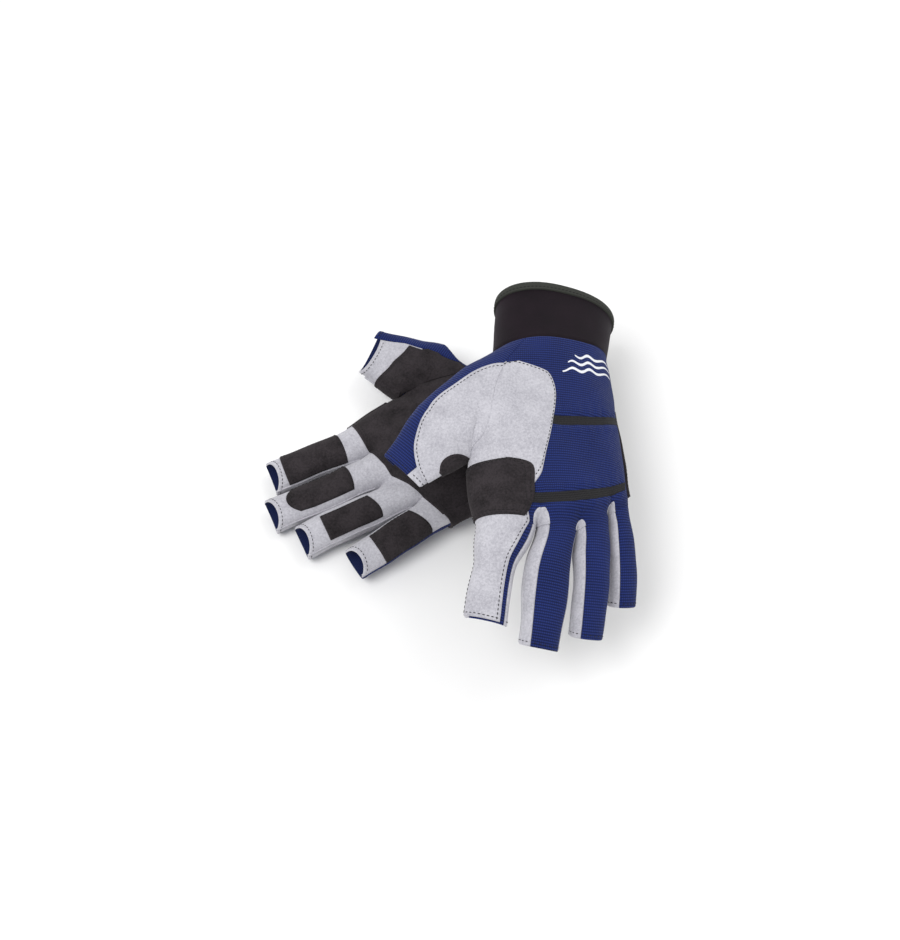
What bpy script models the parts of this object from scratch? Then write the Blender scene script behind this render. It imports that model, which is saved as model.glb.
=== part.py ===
"""A pair of short-finger sailing gloves.

The left glove lies back up across the wrist of the right glove, which lies palm up.
Every panel is a thin shell laid on one glove surface: w runs round the hand or digit,
from the thumb side over the back and home across the palm, and v runs from the cuff rim
(-1) over the wrist seam (0) and the knuckle line (1) to the open fingertips (2).
"""
import bpy
import bmesh
import numpy as np
from math import cos, pi, radians, sin
from mathutils import Matrix, Vector

MM = 0.001
DIGITS = ("index", "middle", "ring", "pinky")

# ---- hand pattern, millimetres: x towards the thumb, y towards the fingertips ----
WRIST_HALF = 32.5
RIM_HALF = 33.6
WRIST_SHIFT = -4.9
RIM_SHIFT = -14.2
CUFF_LENGTH = 37.5
# column lines: thumb edge, thumb seam, then the gaps between the digits, little-finger edge
COLUMN_SHARE = (1.0, 0.6, 0.21, -0.18, -0.6, -1.0)
KNUCKLES = ((41.0, 100.0), (20.0, 102.0), (-1.0, 104.0), (-22.0, 93.0), (-41.0, 86.0))
BOWS = ((52.0, 45.0), (15.0, 50.0), (-3.0, 50.0), (-22.0, 46.0), (-47.0, 42.0))
THUMB_CROTCH = 0.65
THUMB_BOW = (52.0, 14.0)
THUMB_BASE_HALF = 20.0
SPLIT_START = 0.83

DIGIT_LENGTH = {"index": 50.0, "middle": 59.5, "ring": 57.0, "pinky": 48.0, "thumb": 30.0}
DIGIT_FAT = {"index": 9.0, "middle": 9.0, "ring": 9.0, "pinky": 8.5, "thumb": 11.0}
SECTION_POWER = 2.4

# ---- cloth and clearances, millimetres ----
CLOTH = 1.0
NEOPRENE = 2.0
LAYER_GAP = 0.45
PATCH = 0.8
BINDING_OUTSIDE = 0.6
BINDING_INSIDE = 0.4
DIGIT_CLEARANCE = 0.35
LAYER_1 = LAYER_GAP
LAYER_2 = LAYER_1 + PATCH + LAYER_GAP

# ---- how each glove lies: angles in degrees, places in millimetres ----
LEFT = {
    "name": "left", "back_up": True,
    "place": (49.4, 47.1, 66.0), "roll": -17.5, "pitch": 5.5, "yaw": 186.0,
    "fat": (21.0, 20.0, 15.0, 13.5), "belly": (1.0, 1.0, 1.0, 1.0), "arch": 190.0,
    "droop": ((-44.0, 0.0), (0.0, 0.0), (60.0, -6.7), (95.0, -8.9), (160.0, -15.2)),
    "wrist_bend": 0.0, "thumb_lean": 52.5, "hang": 4.5,
    "lean": {"index": 15.5, "middle": 9.9, "ring": 0.6, "pinky": -9.0},
    "shift": {"index": 3.0, "middle": 2.4, "ring": 0.4, "pinky": 0.0},
    "swell": {"index": -0.8, "middle": 1.2, "ring": 0.0, "pinky": 0.0},
    "half": {"index": 11.8, "middle": 11.8, "ring": 10.4, "pinky": 8.8, "thumb": 14.5},
    "tip_flat": {"index": 0.45, "middle": 0.8, "ring": 0.8, "pinky": 0.8, "thumb": 0.35},
    "knuckle_room": (6.0, -4.0, -4.0, -2.5, 3.6), "bow_room": (3.0, -2.0, -2.0, -1.5, 7.2),
    "rim_slant": 0.16,
    "curl": {"index": 3.0, "middle": 16.0, "ring": 22.0, "pinky": 24.0, "thumb": -4.0},
}
RIGHT = {
    "name": "right", "back_up": False,
    "place": (45.7, 52.0, 21.5), "roll": 1.2, "pitch": -4.7, "yaw": 122.5,
    "fat": (9.0, 12.0, 10.0, 9.5), "belly": (2.2, 1.8, 1.6, 1.25), "arch": 0.0,
    "droop": ((-44.0, 0.0), (160.0, 0.0)),
    "wrist_bend": 66.0, "thumb_lean": 59.5, "hang": -16.0,
    "lean": {"index": 10.5, "middle": 8.6, "ring": 7.0, "pinky": -1.0},
    "shift": {"index": 0.0, "middle": 0.0, "ring": 0.0, "pinky": 0.0},
    "swell": {"index": 0.0, "middle": 0.0, "ring": 0.0, "pinky": 0.0},
    "half": {"index": 10.4, "middle": 10.4, "ring": 10.4, "pinky": 9.8, "thumb": 14.5},
    "tip_flat": {"index": 0.85, "middle": 0.9, "ring": 0.9, "pinky": 0.9, "thumb": 0.6},
    "knuckle_room": (0.0, 0.0, 0.0, 0.0, 0.0), "bow_room": (0.0, 0.0, 0.0, 0.0, 0.0),
    "rim_slant": 0.0,
    "curl": {"index": 0.0, "middle": 0.0, "ring": 0.0, "pinky": 0.0, "thumb": 0.0},
}
FAT_ROWS = (-1.0, 0.0, 0.45, 1.0)
BEND_START = 22.0
BEYOND = 200.0
GROUND = LAYER_2 + PATCH

# ---- where the pieces' edges and rows lie: w round the hand or digit, v along it ----
SEAM_GAP = 0.19
SIDE_GAP = 0.035
WALL_GAP = 0.012
HAND_ROWS = (0.015, 0.1, 0.2, 0.33, 0.455, 0.515, 0.64, 0.76, 0.85, 0.915, 0.985)
HAND_STOPS = (0, 0.3, 0.6, 0.8, 1, 1.2, 1.5, 1.8, 2, 2.2, 2.5, 2.8, 3, 3.2, 3.6, 3.85, 4 - SIDE_GAP)
BAND_STOPS = (1.36, 1.5, 1.8, 2, 2.2, 2.5, 2.8, 3, 3.2, 3.36)
PAD_STOPS = (1.21, 1.4, 1.6, 1.79)
BACK_STRIPS = {"thumb": (0.05, 0.6), "index": (0.2, 0.84), "middle": (0.31, 0.88),
               "ring": (0.27, 0.88), "pinky": (0.27, 1.0)}
TIP_STOPS = (0.09, 0.19, 0.212, 0.356, 0.5, 0.644, 0.68)
BASE_ROWS = (0.02, 0.25, 0.5, 0.7, 0.85, 0.97)
DIGIT_ROWS = (1.02, 1.2, 1.4, 1.6, 1.8, 2.0)
CUFF_CELLS = 30
CUFF_ROWS = (-0.93, -0.6, -0.3, -0.02)
BINDING_ROWS = (-1.0, -0.945)
THUMB_BACK_STOPS = (0.035, 0.15, 0.3, 0.5, 0.7, 0.85, 0.975)
THUMB_GUSSET_STOPS = (0.5, 0.7, 0.85)
EDGE_STOPS = (3.42, 3.6, 3.75, 3.85, 3.95, 4.05, 4.15, 4.3)
CROTCH_STOPS = (0.76, 1.14)
CROTCH_ROWS = (1.12, 1.60)
# edges of the index overlay and knuckle patch, as (w, v) points
OVERLAY_LEFT = ((0.30, 0.2), (0.16, 0.33), (0.16, 0.64), (0.08, 0.85), (0.08, 1))
OVERLAY_RIGHT = ((0.70, 0.2), (1.26, 0.33), (1.30, 0.455), (1.08, 0.64), (0.95, 0.85), (0.72, 1))
KNUCKLE_LEFT = ((0.12, 0), (0.12, 1))
KNUCKLE_RIGHT = ((0.76, 0.76), (0.86, 0.85), (0.74, 0.915), (0.62, 0.95))
KNUCKLE_END = 0.95

# ---- how the cloth bends: (share of the way, share of the angle) ----
CURL_LAW = ((0.0, 0.0), (0.15, 0.08), (0.5, 0.55), (1.0, 1.0))
HANG_LAW = ((0, 0.0), (8, 0.35), (20, 0.8), (34, 1.0))
THUMB_TIP_REACH = 60
THUMB_FADE = 30
WRIST_BEND_EARLY = 0.6
WRIST_BEND_SHARE = 0.85
ARCH_START = 10
ARCH_FADE = 60
SPLIT_POWER = 1.3
THUMB_SPLIT_START = 0.25
BELLY_END = 1.3
HINGE_CLEARANCE = 0.3
HINGE_DEPTH = 0.2
SMALL_STEP = 1e-3

# ---- finishes: colour, roughness ----
NAVY = ((0.030, 0.055, 0.210), 0.75)
GREY = ((0.560, 0.560, 0.600), 0.90)
BLACK = ((0.030, 0.028, 0.028), 0.85)
RUBBER = ((0.028, 0.020, 0.026), 0.80)
OLIVE = ((0.090, 0.095, 0.080), 0.80)
ELASTIC = ((0.018, 0.018, 0.018), 0.70)


def smooth(t):
    t = np.clip(t, 0, 1)
    return t * t * (3 - 2 * t)


def bezier(a, b, c, t):
    t = np.asarray(t, float)[..., None]
    a, b, c = (np.array(p, float) for p in (a, b, c))
    return (1 - t) ** 2 * a + 2 * t * (1 - t) * b + t * t * c


def turned(points, origin, along, up, law):
    """Bend points along one direction, by a law of (distance, slope in degrees)."""
    across = np.cross(along, up)
    q = points - origin
    far, high, wide = q @ along, q @ up, q @ across
    steps = np.linspace(law[0][0], law[-1][0], 241)
    slope = np.radians(np.interp(steps, [d for d, _ in law], [a for _, a in law]))
    middle = (slope[1:] + slope[:-1]) / 2
    size = steps[1] - steps[0]
    run = np.concatenate([[0], np.cumsum(np.cos(middle)) * size])
    rise = np.concatenate([[0], np.cumsum(np.sin(middle)) * size])
    run -= np.interp(0, steps, run)
    rise -= np.interp(0, steps, rise)
    held = np.clip(far, steps[0], steps[-1])
    angle = np.interp(held, steps, slope)
    spare = far - held
    x = np.interp(held, steps, run) + spare * np.cos(angle) - high * np.sin(angle)
    y = np.interp(held, steps, rise) + spare * np.sin(angle) + high * np.cos(angle)
    return origin + x[..., None] * along + y[..., None] * up + wide[..., None] * across


class Glove:
    """The outer surface of one glove, as it lies."""

    def __init__(self, lie):
        self.lie = lie
        self.knuckles = [(x + room, y) for (x, y), room in zip(KNUCKLES, lie["knuckle_room"])]
        self.bows = [(x + room, y) for (x, y), room in zip(BOWS, lie["bow_room"])]
        self.crotch = bezier(self.wrist(0), self.bows[0], self.knuckles[0], THUMB_CROTCH)
        lean = radians(lie["thumb_lean"])
        self.thumb_way = np.array([sin(lean), cos(lean)])
        self.thumb_side = np.array([cos(lean), -sin(lean)])
        self.thumb_edge = self.crotch + 2 * THUMB_BASE_HALF * self.thumb_side
        self.turn = np.array(Matrix.Rotation(radians(lie["yaw"]), 3, "Z")
                             @ Matrix.Rotation(radians(lie["pitch"]), 3, "X")
                             @ Matrix.Rotation(radians(lie["roll"]), 3, "Y"))

    # -- the flat pattern --
    def wrist(self, column):
        return (COLUMN_SHARE[column + 1] * WRIST_HALF + WRIST_SHIFT, 0.0)

    def line(self, column, v):
        """A column line of the hand, at v from -1 to 1."""
        v = np.asarray(v, float)
        start = self.wrist(column)[0]
        end = COLUMN_SHARE[column + 1] * RIM_HALF + RIM_SHIFT
        down = np.clip(-v, 0, 1)
        length = CUFF_LENGTH * (1 + self.lie["rim_slant"] * COLUMN_SHARE[column + 1])
        cuff = np.stack([start + (end - start) * down, -length * down], -1)
        bow, top = (THUMB_BOW, self.thumb_edge) if column < 0 else (self.bows[column], self.knuckles[column])
        hand = bezier((start, 0), bow, top, np.clip(v, 0, 1))
        return np.where((v < 0)[..., None], cuff, hand)

    @staticmethod
    def digit_split(v):
        return smooth((v - SPLIT_START) / (1 - SPLIT_START)) ** SPLIT_POWER

    @staticmethod
    def thumb_split(v):
        return np.clip((v / THUMB_CROTCH - THUMB_SPLIT_START) / (1 - THUMB_SPLIT_START), 0, 1) ** 2

    @staticmethod
    def bulge(share):
        return 1 - np.abs(share) ** SECTION_POWER

    def hand(self, g, v):
        out = np.zeros(g.shape + (3,))
        column = np.clip(np.floor(g), 0, 3).astype(int)
        fat = np.interp(v, FAT_ROWS, self.lie["fat"])
        joined, thumbless = self.digit_split(v), self.thumb_split(v)
        for k in range(4):
            m = column == k
            if not m.any():
                continue
            share, row = g[m] - k, v[m]
            even = {0: 1 - np.cos(share * pi / 2), 3: np.sin(share * pi / 2)}.get(k, share)
            f = (1 - joined[m]) * even + joined[m] * (1 - np.cos(pi * share)) / 2
            a, b = self.line(k, row), self.line(k + 1, row)
            with_thumb, alone = self.bulge((k + f - 1.5) / 2.5), self.bulge((k + f - 2) / 2)
            wide = fat[m] ** 2 * ((1 - thumbless[m]) * with_thumb + thumbless[m] * alone)
            tube = DIGIT_FAT[DIGITS[k]] ** 2 * self.bulge(2 * f - 1)
            out[m, :2] = a + (b - a) * f[:, None]
            out[m, 2] = np.sqrt(np.clip((1 - joined[m]) * wide + joined[m] * tube, 0, None))
        return out

    def thumb(self, g, v):
        base = np.clip(v, -1, 1)
        row = np.where(base > 0, base * THUMB_CROTCH, base)
        free = self.thumb_split(np.clip(row, 0, 1))
        f = (1 - free) * (1 - np.cos(g * pi / 2)) + free * (1 - np.cos(pi * g)) / 2
        a, b = self.line(-1, base), self.line(0, row)
        fat = np.interp(row, FAT_ROWS, self.lie["fat"])
        wide = fat ** 2 * self.bulge((f - 2.5) / 2.5)
        tube = DIGIT_FAT["thumb"] ** 2 * self.bulge(2 * f - 1)
        s = np.clip(v - 1, 0, None)
        middle = (self.crotch + self.thumb_edge) / 2
        middle = middle + s[..., None] * DIGIT_LENGTH["thumb"] * self.thumb_way
        half = THUMB_BASE_HALF - DIGIT_CLEARANCE + (self.lie["half"]["thumb"] - THUMB_BASE_HALF) * s
        sleeve = middle + ((1 - 2 * f) * half)[..., None] * self.thumb_side
        flat = np.where((v > 1)[..., None], sleeve, a + (b - a) * f[..., None])
        high = np.sqrt(np.clip((1 - free) * wide + free * tube, 0, None)) * self.flattened("thumb", s)
        return np.concatenate([flat, high[..., None]], -1)

    def way(self, digit):
        """Middle of a digit's root on the knuckle line, and its direction."""
        if digit == "thumb":
            return (self.crotch + self.thumb_edge) / 2, self.thumb_way
        k = DIGITS.index(digit)
        lean = radians(self.lie["lean"][digit])
        middle = (np.array(self.knuckles[k]) + np.array(self.knuckles[k + 1])) / 2
        return middle, np.array([sin(lean), cos(lean)])

    def flattened(self, digit, s):
        """How much of its fatness a digit keeps, from its root at s = 0 to its tip at 1."""
        return 1 + (self.lie["tip_flat"][digit] - 1) * smooth(s * 1.2)

    def sleeve(self, digit, g, v):
        k = DIGITS.index(digit)
        f = (1 - np.cos(pi * g)) / 2
        s = v - 1
        root, way = self.way(digit)
        half = (np.array(self.knuckles[k]) - np.array(self.knuckles[k + 1])) / 2
        side = np.array([way[1], -way[0]])
        reach = np.linalg.norm(half)
        eased = smooth(s * 3)[..., None]
        across = (1 - eased) * half / reach + eased * side
        wide = reach - DIGIT_CLEARANCE + (self.lie["half"][digit] - reach) * smooth(s * 2)
        wide = wide + self.lie["swell"][digit] * np.sin(pi * np.clip(s, 0, 1)) ** 2
        flat = root + (s * DIGIT_LENGTH[digit])[..., None] * way
        flat = flat + (self.lie["shift"][digit] * smooth(s * 2.5))[..., None] * side
        flat = flat + ((1 - 2 * f) * wide)[..., None] * across
        high = DIGIT_FAT[digit] * np.sqrt(np.clip(self.bulge(2 * f - 1), 0, None)) * self.flattened(digit, s)
        return np.concatenate([flat, high[..., None]], -1)

    def pattern(self, part, g, v):
        """The unposed surface: g from 0 to n on the upper side and on to 2n below."""
        n = 4 if part == "hand" else 1
        g = np.mod(g, 2 * n)
        below = g > n
        g = np.where(below, 2 * n - g, g)
        if part == "hand":
            p = self.hand(g, v)
        elif part == "thumb":
            p = self.thumb(g, v)
        else:
            p = self.sleeve(part, g, v)
        belly = np.interp(v, FAT_ROWS + (BELLY_END,), self.lie["belly"] + (1.0,))
        p[..., 2] *= np.where(below, -belly, 1)
        return p

    # -- bends --
    def posed(self, part, p):
        up = np.array([0.0, 0.0, 1.0])
        lie = self.lie
        if part != "hand" and part != "thumb":
            root, way = self.way(part)
            n, curl = DIGIT_LENGTH[part], lie["curl"][part]
            law = [(n * way_share, -curl * share) for way_share, share in CURL_LAW]
            p = turned(p, np.array([*root, 0]), np.array([*way, 0]), up, law)
        if part == "thumb":
            start = np.array([*self.wrist(0), 0])
            seam = np.array([*self.crotch, 0]) - start
            seam /= np.linalg.norm(seam)
            out = np.array([seam[1], -seam[0], 0])
            h = lie["hang"]
            law = [(reach, -h * share) for reach, share in HANG_LAW]
            law.append((THUMB_TIP_REACH, -h - lie["curl"]["thumb"]))
            fade = smooth(((p - start) @ seam) / THUMB_FADE)
            p = p + (turned(p, start, out, up, law) - p) * fade[..., None]
        b = lie["wrist_bend"]
        if b:
            law = ((-CUFF_LENGTH - BEND_START, -b),
                   (-CUFF_LENGTH * WRIST_BEND_EARLY - BEND_START, -b * WRIST_BEND_SHARE), (0, 0), (BEYOND, 0))
            x, y = np.array([1.0, 0, 0]), np.array([0, 1.0, 0])
            p = turned(p, np.array([0, BEND_START, 0]), y, x, law)
        p = turned(p, np.zeros(3), np.array([0, 1.0, 0]), up, lie["droop"])
        if lie["arch"]:
            radius = lie["arch"]
            x, z = p[..., 0], p[..., 2]
            bent = np.stack([(radius + z) * np.sin(x / radius), p[..., 1],
                             (radius + z) * np.cos(x / radius) - radius], -1)
            p = p + (bent - p) * smooth((p[..., 1] + ARCH_START) / ARCH_FADE)[..., None]
        return p @ self.turn.T + np.array(lie["place"])

    def at(self, part, w, v, off):
        """Points on the lying glove, off millimetres out from its surface."""
        n = 4 if part == "hand" else 1
        w, v = np.broadcast_arrays(np.asarray(w, float), np.asarray(v, float))
        g = np.mod(w if self.lie["back_up"] else 2 * n - w, 2 * n)
        e = SMALL_STEP
        # beside the thumb seam the surface goes on in the other part, so look inwards only
        low, high = g - e, g + e
        if part == "hand":
            joined = v < THUMB_CROTCH
            low = np.where(joined, np.maximum(low, 0), low)
            high = np.where(joined, np.minimum(high, 2 * n - 1e-9), high)
        elif part == "thumb":
            joined = v < 1
            high = np.where(joined & (g <= 1), np.minimum(high, 1), high)
            low = np.where(joined & (g > 1), np.maximum(low, 1 + 1e-9), low)
        round_ = self.pattern(part, high, v) - self.pattern(part, low, v)
        along = self.pattern(part, g, v + e) - self.pattern(part, g, v - e)
        out = np.cross(along, round_)
        out /= np.linalg.norm(out, axis=-1, keepdims=True) + 1e-12
        p = self.posed(part, self.pattern(part, g, v) + off * out)
        if not self.lie["back_up"]:
            p[..., 2] = np.maximum(p[..., 2], GROUND - off)
        return p

    def around(self, q, v, off):
        """The closed ring of the wrist, q from 0 to 10: thumb column, hand, hand, thumb column."""
        q, v = np.broadcast_arrays(np.asarray(q, float), np.asarray(v, float))
        out = np.zeros(q.shape + (3,))
        spans = ((0, 1, "thumb", 0), (1, 5, "hand", 1), (5, 9, "hand", 1), (9, 10, "thumb", 8))
        for low, high, part, shift in spans:
            m = (q >= low) & (q < high)
            if m.any():
                out[m] = self.at(part, q[m] - shift, v[m], off)
        return out


# ---- making ----
def finish_of(name, look):
    material = bpy.data.materials.new(name)
    material.use_nodes = True
    colour, rough = look
    shader = material.node_tree.nodes["Principled BSDF"]
    shader.inputs["Base Color"].default_value = (*colour, 1)
    shader.inputs["Roughness"].default_value = rough
    shader.inputs["Metallic"].default_value = 0
    material.diffuse_color = (*colour, 1)
    return material


def shell(name, look, surface, cells, outer, inner, parent, ring=False):
    """A closed shell: surface(across, along, off) gives its points, with both shares 0 to 1."""
    bm = bmesh.new()
    bmesh.ops.create_grid(bm, x_segments=cells[0], y_segments=cells[1], size=1)
    across = bm.verts.layers.float.new("across")
    along = bm.verts.layers.float.new("along")
    for vert in bm.verts:
        vert[across] = (vert.co.x + 1) / 2
        vert[along] = (vert.co.y + 1) / 2
        if ring and vert[across] > 0.9999:
            vert[across] = 0
            vert.co.x = -1
    if ring:
        bmesh.ops.remove_doubles(bm, verts=bm.verts, dist=1e-5)
    outside = bm.verts[:]
    made = bmesh.ops.extrude_face_region(bm, geom=bm.faces[:])["geom"]
    inside = [item for item in made if isinstance(item, bmesh.types.BMVert)]
    home = np.array(parent.matrix_world.inverted())
    for verts, off in ((outside, outer), (inside, inner)):
        a = np.array([vert[across] for vert in verts])
        b = np.array([vert[along] for vert in verts])
        points = surface(a, b, off) * MM
        points = points @ home[:3, :3].T + home[:3, 3]
        for vert, point in zip(verts, points):
            vert.co = point
    bmesh.ops.recalc_face_normals(bm, faces=bm.faces)
    if bm.calc_volume(signed=True) < 0:
        bmesh.ops.reverse_faces(bm, faces=bm.faces)
    mesh = bpy.data.meshes.new(name)
    bm.to_mesh(mesh)
    bm.free()
    mesh.shade_smooth()
    mesh.set_sharp_from_angle(angle=radians(40))
    mesh.materials.append(finish_of(name, look))
    piece = bpy.data.objects.new(name, mesh)
    bpy.context.scene.collection.objects.link(piece)
    piece.parent = parent
    return piece


def panel(glove, part, w_stops, v_stops):
    """A piece of the surface between stops in w and v, which may each vary along the piece."""
    def surface(a, b, off):
        v = np.interp(b, np.linspace(0, 1, len(v_stops)), v_stops)
        w = np.interp(a, np.linspace(0, 1, len(w_stops)), w_stops)
        return glove.at(part, w, v, off)
    return surface


def between(glove, part, left, right, v_stops):
    """A piece between two edges, each a list of (w, v) points, in rows shared with the cloth below."""
    def surface(a, b, off):
        v = np.interp(b, np.linspace(0, 1, len(v_stops)), v_stops)
        p, q = (np.interp(v, [stop for _, stop in edge], [w for w, _ in edge]) for edge in (left, right))
        return glove.at(part, p + (q - p) * a, v, off)
    return surface


def strip(glove, stops):
    """A closed ring of the wrist between stops in v."""
    def surface(a, b, off):
        v = np.interp(b, np.linspace(0, 1, len(stops)), stops)
        return glove.around(a * 10, v, off)
    return surface


def gap_at_seam(glove, side, w_stops, v_stops):
    """A hand panel whose thumb edge keeps clear of the thumb seam and then of the side seam."""
    def surface(a, b, off):
        v = np.interp(b, np.linspace(0, 1, len(v_stops)), v_stops)
        w = np.interp(a, np.linspace(0, 1, len(w_stops)), w_stops)
        edge = np.interp(v, (THUMB_CROTCH - 0.02, THUMB_CROTCH + 0.05), (SEAM_GAP, SIDE_GAP))
        w = np.maximum(w, edge)
        return glove.at("hand", w if side == "back" else 8 - w, v, off)
    return surface


def hinge(name, glove, digit, parent):
    """An empty on a digit's crease: its X axis is the hinge, and its Z points out of the back."""
    root = glove.at(digit, np.array([0.0, 1.0, 1.5]), np.full(3, 1.0), 0.0)
    ahead = glove.at(digit, np.array([0.0, 1.0]), np.full(2, 1.15), 0.0)
    way = (ahead[0] + ahead[1]) / 2 - (root[0] + root[1]) / 2
    way /= np.linalg.norm(way)
    side = root[0] - root[1]
    reach = abs(side @ way) / 2
    side -= (side @ way) * way
    side /= np.linalg.norm(side)
    back = np.cross(side, way)
    if back @ (root[2] - (root[0] + root[1]) / 2) > 0:
        back, side = -back, -side
    middle = (root[0] + root[1]) / 2
    palm_depth = (root[2] - middle) @ back
    spot = middle + way * (reach + HINGE_CLEARANCE) + back * (palm_depth - HINGE_DEPTH)
    empty = bpy.data.objects.new(name, None)
    bpy.context.scene.collection.objects.link(empty)
    empty.empty_display_size = 0.01
    empty.parent = parent
    bpy.context.view_layer.update()
    turn = Matrix((side, way, back)).transposed().to_4x4()
    empty.matrix_world = Matrix.Translation(Vector(spot) * MM) @ turn
    bpy.context.view_layer.update()
    return empty


def make_cuff(glove, side, hand):
    shell(side + "_cuff", RUBBER, strip(glove, CUFF_ROWS), (CUFF_CELLS, 3), 0, -NEOPRENE, hand, True)
    shell(side + "_cuff_binding", OLIVE, strip(glove, BINDING_ROWS), (CUFF_CELLS, 1),
          BINDING_OUTSIDE, -NEOPRENE - BINDING_INSIDE, hand, True)


def make_hand(glove, side, hand):
    cells = (len(HAND_STOPS) - 1, len(HAND_ROWS) - 1)
    for name, look, turned_to in (("_back_panel", NAVY, "back"), ("_palm_panel", GREY, "palm")):
        cloth = gap_at_seam(glove, turned_to, HAND_STOPS, HAND_ROWS)
        shell(side + name, look, cloth, cells, 0, -CLOTH, hand)
    palm = [2 - w for w in THUMB_BACK_STOPS]
    cells = (len(THUMB_BACK_STOPS) - 1, len(BASE_ROWS) - 1)
    bases = (("_thumb_base_back", NAVY, THUMB_BACK_STOPS), ("_thumb_base_palm", BLACK, palm))
    for name, look, stops in bases:
        shell(side + name, look, panel(glove, "thumb", stops, BASE_ROWS), cells, 0, -CLOTH, hand)


def overlay(name, look, surface, cells, parent, layer=LAYER_1):
    shell(name, look, surface, cells, layer + PATCH, layer, parent)


def make_overlays(glove, side, hand):
    rows = HAND_ROWS[2:]
    lobe = between(glove, "hand", OVERLAY_LEFT, OVERLAY_RIGHT, rows)
    overlay(side + "_index_overlay", GREY, lobe, (8, len(rows) - 1), hand)
    rows = HAND_ROWS[-4:-1] + (KNUCKLE_END,)
    knuckles = between(glove, "hand", KNUCKLE_LEFT, KNUCKLE_RIGHT, rows)
    overlay(side + "_knuckle_patch", BLACK, knuckles, (5, 3), hand, LAYER_2)
    upper = panel(glove, "hand", BAND_STOPS, HAND_ROWS[4:6])
    lower = panel(glove, "hand", BAND_STOPS, HAND_ROWS[8:10])
    overlay(side + "_elastic_band_upper", ELASTIC, upper, (len(BAND_STOPS) - 1, 1), hand)
    overlay(side + "_elastic_band_lower", ELASTIC, lower, (len(BAND_STOPS) - 1, 1), hand)
    edge = panel(glove, "hand", EDGE_STOPS, HAND_ROWS[3:10])
    overlay(side + "_outer_edge_patch", BLACK, edge, (7, 6), hand)
    inside = [8 - w for w in HAND_STOPS[1:-2]]
    palm = panel(glove, "hand", inside, HAND_ROWS[1:-1])
    overlay(side + "_palm_reinforcement", BLACK, palm, (13, 8), hand)
    gusset = panel(glove, "thumb", THUMB_GUSSET_STOPS, BASE_ROWS[1:])
    overlay(side + "_thumb_gusset", GREY, gusset, (2, 4), hand)


def make_digit(glove, side, digit, hand):
    pivot = hinge("%s_%s_hinge" % (side, digit), glove, digit, hand)
    name = "%s_%s_" % (side, digit)
    first, last = BACK_STRIPS[digit]
    ring = np.concatenate([np.linspace(last, 1.2, 4), (1.4, 1.6, 1.8), np.linspace(1.93, 2 + first, 3)])
    ring[0] += WALL_GAP
    ring[-1] -= WALL_GAP
    strip_stops = np.linspace(first + WALL_GAP, last - WALL_GAP, 5)
    shell(name + "front", GREY, panel(glove, digit, ring, DIGIT_ROWS), (9, 5), 0, -CLOTH, pivot)
    shell(name + "back", NAVY, panel(glove, digit, strip_stops, DIGIT_ROWS), (4, 5), 0, -CLOTH, pivot)
    overlay(name + "pad", BLACK, panel(glove, digit, PAD_STOPS, DIGIT_ROWS[1:-1]), (3, 3), pivot)
    if digit == "index":
        tip = panel(glove, digit, TIP_STOPS, (1.06,) + DIGIT_ROWS[1:-1] + (1.97,))
        overlay(name + "overlay_tip", GREY, tip, (6, 5), pivot)
    if digit == "thumb":
        web = panel(glove, digit, CROTCH_STOPS, CROTCH_ROWS)
        overlay(side + "_crotch_patch", BLACK, web, (5, 3), pivot)


def empty_at(name, place, parent=None):
    empty = bpy.data.objects.new(name, None)
    bpy.context.scene.collection.objects.link(empty)
    empty.empty_display_size = 0.02
    empty.parent = parent
    empty.location = place
    return empty


def make_glove(lie, pair):
    glove, side = Glove(lie), lie["name"]
    hand = empty_at(side + "_hand", Vector(lie["place"]) * MM, pair)
    bpy.context.view_layer.update()
    make_cuff(glove, side, hand)
    make_hand(glove, side, hand)
    make_overlays(glove, side, hand)
    for digit in DIGITS + ("thumb",):
        make_digit(glove, side, digit, hand)


def main():
    for thing in list(bpy.data.objects):
        bpy.data.objects.remove(thing, do_unlink=True)
    pair = empty_at("glove_pair", (0, 0, 0))
    for lie in (LEFT, RIGHT):
        make_glove(lie, pair)
    bpy.context.view_layer.update()
    points = np.array([piece.matrix_world @ vert.co for piece in bpy.data.objects
                       if piece.type == "MESH" for vert in piece.data.vertices])
    low, high = points.min(axis=0), points.max(axis=0)
    pair.location = (-(low[0] + high[0]) / 2, -(low[1] + high[1]) / 2, -low[2])


main()
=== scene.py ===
"""Looks of a pair of short-finger sailing gloves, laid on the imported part.

Every sewn piece lies on one glove surface, the same that the part is made on: w runs round the hand
or digit from the thumb side over the back and home across the palm, and v runs from the cuff rim (-1)
over the wrist seam (0) and the knuckle line (1) to the open fingertips (2). Sizes are millimetres.
"""
from math import cos, pi, radians, sin

import bmesh
import bpy
import numpy as np
from mathutils import Matrix, Vector


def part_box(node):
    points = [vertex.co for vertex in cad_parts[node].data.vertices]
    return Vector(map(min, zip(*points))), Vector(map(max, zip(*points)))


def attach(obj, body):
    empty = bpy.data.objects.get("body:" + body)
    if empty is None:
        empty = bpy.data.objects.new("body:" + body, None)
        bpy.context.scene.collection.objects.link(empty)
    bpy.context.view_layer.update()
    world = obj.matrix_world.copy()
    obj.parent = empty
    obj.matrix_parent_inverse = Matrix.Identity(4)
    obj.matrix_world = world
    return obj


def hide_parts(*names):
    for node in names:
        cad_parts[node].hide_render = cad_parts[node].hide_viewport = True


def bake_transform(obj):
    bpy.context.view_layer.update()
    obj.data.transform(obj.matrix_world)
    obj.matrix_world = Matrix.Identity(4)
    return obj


MM = 0.001
DIGITS = ("index", "middle", "ring", "pinky")
THUMB = "thumb"


def each(*values):
    """One value for each digit, from the index finger to the little one, and the thumb's last."""
    return dict(zip(DIGITS + (THUMB,), values))


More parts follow.
